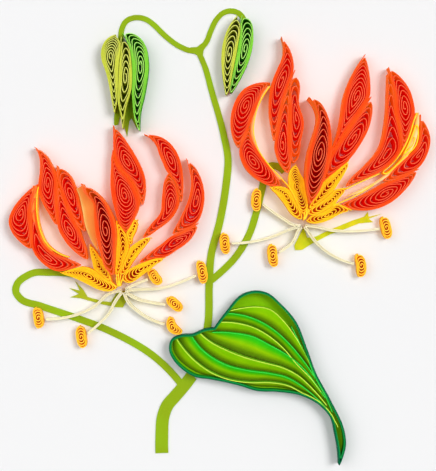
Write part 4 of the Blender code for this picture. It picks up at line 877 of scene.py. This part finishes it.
leftPistil = [
    (1.5, -1.2), (2.1, -3.6), (0.6, -6.3), (-1.5, -6.2), (-6.2, -5.2), (-12.2, -3.5), (-15.4, -3.2),
    (-12.7, -2.2), (-15.7, -0.4), (-12.4, -1.2), (-13.8, 1.6), (-11.4, -0.9), (-10.0, -3.1),
    (-5.8, -4.3), (-3.0, -4.7), (-1.6, -2.4), (-0.8, -1.4),
]
rightPistil = [
    (0.1, -2.1), (-1.2, -4.6), (-2.6, -7.4), (-2.3, -8.8), (-0.2, -8.7), (2.6, -6.9), (8.3, -4.0),
    (13.0, -2.3), (17.0, -0.7), (21.2, -0.3), (19.9, 0.7), (23.9, 2.2), (19.9, 1.3), (19.6, 2.8),
    (18.6, 1.4), (15.0, 0.2), (7.5, -2.9), (3.8, -4.7), (1.3, -5.0), (0.8, -3.5),
]
stem = {
    "main": ((2.3, 2.2), [
        (8.2, 20.5), (11.6, 28.6), (13.8, 36.8), (14.3, 49.5), (14.9, 58.5), (17.5, 68.5), (20.0, 85.5),
    ]),
    "foot": ((3.9, 3.6), [
        (0.0, -1.4), (0.0, 4.5), (0.3, 9.2), (1.6, 12.9), (4.2, 16.0), (6.7, 18.9), (9.0, 22.0),
    ]),
    "top": ((2.2, 1.6), [
        (19.8, 83.0), (20.0, 87.0), (18.6, 95.0), (14.9, 108.5), (12.9, 115.6), (10.9, 120.0),
    ]),
    "left_branch": ((2.1, 2.1), [
        (6.0, 19.2), (-0.9, 26.6), (-15.9, 35.6), (-26.0, 39.5), (-36.7, 43.1), (-42.9, 45.4),
        (-44.2, 47.5), (-43.6, 49.9), (-41.3, 51.9), (-38.6, 53.1), (-34.4, 53.2), (-29.0, 53.0),
        (-24.5, 52.2),
    ]),
    "pedicel": ((2.1, 2.1), [
        (14.6, 50.6), (18.4, 53.8), (22.4, 58.0), (26.2, 64.3), (28.7, 71.9), (30.4, 79.1),
        (31.2, 83.3), (32.8, 85.4), (35.0, 85.2), (37.0, 83.6),
    ]),
    "left_stalk": ((1.6, 1.6), [
        (11.2, 120.1), (8.2, 120.3), (5.5, 121.4), (2.5, 123.4), (0.0, 125.6), (-2.2, 127.8),
        (-4.9, 129.7), (-8.0, 130.2), (-10.7, 129.2), (-12.0, 127.1), (-12.4, 124.6), (-12.2, 120.0),
    ]),
    "right_stalk": ((1.6, 1.6), [
        (10.6, 119.8), (13.6, 123.1), (14.8, 126.2), (16.5, 129.6), (18.7, 131.7), (21.0, 132.2),
        (23.3, 131.5), (24.8, 129.6), (25.2, 126.0),
    ]),
}
stemSheets = [
    [   # behind the left bud
        (-13.2, 120.8), (-13.7, 108.8), (-14.5, 99.6), (-14.4, 97.6), (-13.2, 97.8), (-12.7, 100.3),
        (-11.7, 98.6), (-10.5, 94.2), (-9.8, 98.8), (-9.2, 99.8), (-7.5, 96.3), (-8.0, 106.5), (-9.5, 120.8),
    ],
    [   # fork of the bud stalks
        (8.4, 120.4), (10.4, 118.9), (12.3, 118.2), (12.6, 120.3), (13.9, 122.3), (12.0, 122.4),
        (10.6, 121.3), (8.6, 121.2),
    ],
]
stemSheet = {"step": 0.8}       # between the points of a branch's centre line


# A flat sheet over a closed outline: floor and lid are the outline itself, the wall joins them.
def sheetMesh(outline, base, top):
    outline = outline if signedArea(outline) > 0 else outline[::-1]
    count = len(outline)
    verts = np.vstack([np.column_stack([outline, np.full(count, level)]) for level in (base, top)])
    here = np.arange(count)
    after = (here + 1) % count
    walls = np.stack([here, after, after + count, here + count], axis=1).tolist()
    return verts, [*walls, here[::-1].tolist(), (here + count).tolist()], np.zeros(2 * count)


# Outline of a band: the centre line moved half the width to each side, out one side and back the other.
def bandOutline(points, widths):
    centre = evenLine(points, stemSheet["step"])
    aside = slopeAndAside(centre)[1] * np.linspace(widths[0], widths[1], len(centre))[:, None] / 2
    return np.vstack([centre + aside, (centre - aside)[::-1]])


# Unites pieces into the first: a join of solids, kept as its mesh.
def united(piece, others):
    for other in others:
        join = piece.modifiers.new("join", "BOOLEAN")
        join.operation, join.solver, join.object = "UNION", "EXACT", other
    whole = bpy.data.meshes.new_from_object(piece.evaluated_get(bpy.context.evaluated_depsgraph_get()))
    piece.modifiers.clear()
    piece.data = whole
    for other in others:
        bpy.data.objects.remove(other)


# A bare object from corners in millimetres, to be united with another.
def plainObject(name, verts, faces):
    mesh = bpy.data.meshes.new(name)
    mesh.from_pydata((verts / metre).tolist(), [], faces)
    other = bpy.data.objects.new(name, mesh)
    bpy.context.scene.collection.objects.link(other)
    return other


# The stem: a band along each branch, its width running evenly from one end's to the other's, and the drawn
# sheets, all of one thickness and united.
def makeStem():
    outlines = [bandOutline(points, widths) for widths, points in stem.values()]
    outlines += [np.array(sheet) for sheet in stemSheets]
    meshes = [sheetMesh(outline, *levels("stem")) for outline in outlines]
    piece = addPiece("stem_sheet", meshes[0][0], meshes[0][1], "lime_paper", ["stem"])
    united(piece, [plainObject("branch", verts, faces) for verts, faces, _ in meshes[1:]])


# A pistil: the sheet over its drawn outline, moved to the bloom's centre.
def makePistil(name, outline, origin):
    verts, faces, _ = sheetMesh(np.array(outline) + origin, *levels(name))
    addPiece(name + "_sheet", verts, faces, "pistil_paper", [name], None, name)


makeStem()
makePistil("left_pistil", leftPistil, leftBloom)
makePistil("right_pistil", rightPistil, rightBloom)
print("stem and pistils cut")

leaf = (
    (53.0, -4.9),
    [(54.4, -1.6), (55.2, 2.0), (54.9, 5.2), (50.4, 15.6), (46.3, 23.2), (43.6, 30.5), (40.0, 39.1),
     (35.9, 43.8), (31.6, 47.2), (28.0, 47.8), (24.6, 46.9), (19.2, 41.3)],
    (15.8, 36.7),
    [(52.7, 0.3), (51.9, 4.7), (50.6, 9.7), (47.6, 13.3), (41.8, 16.5), (35.0, 17.6), (28.2, 18.0),
     (23.7, 19.4), (19.2, 20.5), (14.6, 21.4), (10.1, 22.1), (6.5, 24.2), (3.8, 26.9), (2.3, 30.2),
     (2.9, 33.2), (5.8, 34.6), (9.7, 35.0), (12.6, 36.3)],
)
veins = [
    ("green", [(38.9, 37.1), (41.5, 31.9), (44.2, 26.6), (46.8, 21.4), (49.0, 16.5), (51.1, 11.6)]),
    ("yellow", [(19.6, 41.6), (23.6, 42.5), (28.1, 43.0), (32.5, 42.2), (36.3, 39.0), (40.0, 34.1),
        (43.0, 28.9), (45.3, 24.0), (47.5, 20.2)]),
    ("green", [(19.1, 41.1), (24.3, 40.5), (29.6, 38.6), (34.8, 35.2), (39.3, 30.8), (43.0, 26.2),
        (46.0, 21.8), (47.9, 18.8)]),
    ("yellow", [(17.2, 38.4), (22.8, 38.1), (27.3, 36.9), (31.8, 34.5), (36.3, 30.8), (40.8, 25.5),
        (44.5, 21.8), (47.7, 17.6)]),
    ("green", [(15.3, 35.4), (22.1, 35.1), (27.3, 34.1), (32.5, 31.5), (37.8, 28.5), (42.3, 24.8),
        (46.0, 20.2), (49.0, 15.8)]),
    ("yellow", [(11.3, 35.4), (14.6, 32.6), (19.1, 30.2), (24.3, 28.1), (31.1, 26.2), (36.3, 24.8),
        (40.8, 22.5), (45.3, 18.4), (49.4, 13.6)]),
    ("green", [(9.2, 34.1), (11.6, 30.8), (15.3, 27.8), (19.8, 25.5), (25.8, 24.0), (32.5, 23.1),
        (37.8, 21.8), (42.3, 19.1), (46.0, 16.1), (49.9, 12.1)]),
    ("yellow", [(4.4, 33.8), (6.7, 30.4), (10.8, 26.2), (15.3, 23.2), (20.6, 21.2), (26.6, 20.4),
        (32.5, 20.4), (37.8, 19.5), (42.3, 17.2), (46.5, 14.9), (50.2, 11.4), (52.8, 7.1)]),
]
leafStrip = {
    "rims": ("teal_paper", "inner_rim"),
    "rim": 0.34,            # room that each strip of the rim takes, and the share that its paper fills
    "rimFill": 0.97,
    "rimDrop": 0.1,         # from the outer strip of the rim to the inner, and from the rim to the veins
    "blade": 0.3,           # thickness of the sheet inside the rim
    "vein": 0.27,
    "step": 0.7,
    "veinStep": 0.8,
    "fine": 0.1,            # step while a line is kept inside the rim
    "slope": 1.6,           # rise of a band for each millimetre across
    "drop": 0.25,           # least that a band stays below the crown of its vein
    "lift": 0.18,           # between the blade and a band's foot
    "between": (0.02, 0.96),    # where a band starts and ends, as shares of the way to the next vein
    "clear": (0.02, 0.05),      # room left to the rim by the blade and by a band's far side
    "unfolded": 0.93,       # least share of the way in that a corner has to lie to stay in a drawn-in outline
    "bandRows": 60,
    "bandEnd": 0.97,
}
leafEdge = [
    (3.6, 33.0), (3.2, 30.3), (4.6, 27.5), (7.2, 25.0), (10.6, 23.0), (19.4, 21.4), (28.3, 18.9),
    (35.1, 18.5), (42.0, 17.4), (48.0, 14.0), (51.2, 9.9), (52.3, 5.5),
]


# Outline of the leaf drawn in by a distance, without the corners that fold over at its tips.
def drawnIn(outline, inset):
    aside = slopeAndAside(outline, True)[1]
    drawn = outline + aside * np.sign(signedArea(outline)) * inset
    _, distance, inside, _ = nearestOn(drawn, outline)
    return drawn[inside & (distance > leafStrip["unfolded"] * inset)]


# A line drawn into an outline: the part from its first point inside to its last, and of that each point
# too near the outline moves straight in until it keeps the room.
def keptIn(line, outline, room, trimmed=True):
    foot, distance, inside, _ = nearestOn(line, outline)
    inward = np.where(inside[:, None], line - foot, foot - line) / np.maximum(distance, 1e-6)[:, None]
    signed = np.where(inside, distance, -distance)
    line = np.where((signed < room)[:, None], foot + inward * room, line)
    if trimmed:
        clear = np.flatnonzero(signed > room)
        line = line[clear[0]:clear[-1] + 1]
    return line


# The leaf: strips on edge round its outline, the blade inside them, the veins on the blade, and between
# each two veins a band that falls as the square of the share that is left to the next vein.
def makeLeaf():
    tip, side, notch, other = leaf
    lines = [evenLine([tip, *line, notch], leafStrip["step"]) for line in (side, other)]
    outer = np.vstack([lines[0], lines[1][-2:0:-1]])
    base, crown = levels("leaf_rim")
    for turn, look in enumerate(leafStrip["rims"]):
        path = drawnIn(outer, leafStrip["rim"] * (turn + 0.5))
        verts, faces, edge = stripMesh(path, leafStrip["rim"] * leafStrip["rimFill"], base,
                                       crown - leafStrip["rimDrop"] * turn, closed=True)
        addPiece("leaf_rim_%d" % (turn + 1), verts, faces, "teal_paper", ["leaf_rim"],
                 {"edge": edge, "loose": 0 * edge}, look)
    base, crown = levels("leaf_blade")
    inset = leafStrip["rim"] * len(leafStrip["rims"])
    foot, crown = base + leafStrip["blade"], crown - leafStrip["rimDrop"]
    verts, faces, _ = sheetMesh(drawnIn(outer, inset + leafStrip["clear"][0]), base, foot)
    addPiece("leaf_blade_sheet", verts, faces, "lime_paper", ["leaf_blade"], None, "leaf_floor")
    lines = [evenLine(route, leafStrip["fine"]) for route in [line for _, line in veins] + [leafEdge]]
    strips, bands = {}, {}
    share = np.linspace(0.0, leafStrip["bandEnd"], leafStrip["bandRows"])
    for number, (look, _) in enumerate(veins):
        line = keptIn(lines[number], outer, inset + leafStrip["vein"] / 2)
        if number:
            near = pointsAt(line, share)
            far = keptIn(pointsAt(lines[number + 1], share), outer, inset + leafStrip["clear"][1], False)
            rise = leafStrip["slope"] * np.linalg.norm(far - near, axis=1)
            rise = np.minimum(crown - leafStrip["drop"] - foot, rise)
            near, far = [near * (1.0 - way) + far * way for way in leafStrip["between"]]
            floor = foot + leafStrip["lift"]
            # Each band's colour ramp is painted light and shade: bright by its vein, dark by the foot of the
            # next.
            bands.setdefault(look, []).append(sheetBetween(near, far, floor + rise, floor, 2.0))
        count = round(len(line) * leafStrip["fine"] / leafStrip["veinStep"])
        line = pointsAt(line, np.linspace(0.0, 1.0, count))
        strips.setdefault(look, []).append(stripMesh(line, leafStrip["vein"], foot, crown))
    for look, parts in strips.items():
        addJoined(look + "_vein_strips", parts, "lime_paper", ("edge", "loose"), (), look + "_vein")
    for look, parts in bands.items():
        addJoined(look + "_leaf_bands", parts, "lime_paper", ("across",), (), look + "_band")


makeLeaf()
print("leaf made")

studio = {
    "centre": (16.95, 64.35),   # middle of the picture on the floor, in millimetres
    "view": 141.3,              # what the long side of the picture takes in
    "lens": 100.0,
    "film": 36.0,
    "level": 3.0,               # height at which the picture's scale holds
    "floor": (0.90, 0.90, 0.905),
    "half": 4.0,                # half the side of the floor, in metres
    "under": 0.00005,           # how far it lies below the paper, in metres
    "roughness": 0.9,
    "specular": 0.1,
    "clip": (0.01, 20.0),
    "lamps": {                  # where each shines from, its strength and how wide it is, in radians
        "key": ((0.46, 0.18, 0.87), 1.6, 0.45),
        "fill": ((-0.5, 0.2, 0.85), 0.8, 0.9),
    },
    "sky": 0.38,
}


# The floor is a square. The camera looks straight down from where the view fills the film: its height is
# the view times the lens divided by the film, above the level at which the scale holds.
def makeStudio():
    half = studio["half"]
    mesh = bpy.data.meshes.new("floor")
    corners = [(-half, -half, 0), (half, -half, 0), (half, half, 0), (-half, half, 0)]
    mesh.from_pydata(corners, [], [(0, 1, 2, 3)])
    floor = bpy.data.objects.new("floor", mesh)
    floor.location.z = -studio["under"]
    bpy.context.scene.collection.objects.link(floor)
    material = bpy.data.materials.new("floor_look")
    material.use_nodes = True
    shader = material.node_tree.nodes["Principled BSDF"]
    shader.inputs["Base Color"].default_value = (*studio["floor"], 1.0)
    shader.inputs["Roughness"].default_value = studio["roughness"]
    shader.inputs["Specular IOR Level"].default_value = studio["specular"]
    mesh.materials.append(material)

    lens = bpy.data.cameras.new("camera")
    lens.lens = studio["lens"]
    lens.sensor_fit = "VERTICAL"
    lens.sensor_height = studio["film"]
    lens.clip_start, lens.clip_end = studio["clip"]
    camera = bpy.data.objects.new("camera", lens)
    height = studio["view"] * studio["lens"] / studio["film"] + studio["level"]
    camera.location = (studio["centre"][0] / metre, studio["centre"][1] / metre, height / metre)
    bpy.context.scene.collection.objects.link(camera)
    bpy.context.scene.camera = camera

    for name, (place, strength, size) in studio["lamps"].items():
        lamp = bpy.data.lights.new(name, "SUN")
        lamp.energy = strength
        lamp.angle = size
        light = bpy.data.objects.new(name, lamp)
        light.rotation_euler = Vector(place).to_track_quat("Z", "Y").to_euler()
        bpy.context.scene.collection.objects.link(light)

    world = bpy.data.worlds.new("sky")
    bpy.context.scene.world = world
    world.use_nodes = True
    world.node_tree.nodes["Background"].inputs["Color"].default_value = (1.0, 1.0, 1.0, 1.0)
    world.node_tree.nodes["Background"].inputs["Strength"].default_value = studio["sky"]
    bpy.context.scene.view_settings.view_transform = "Standard"


makeStudio()
print("floor, camera and light set")
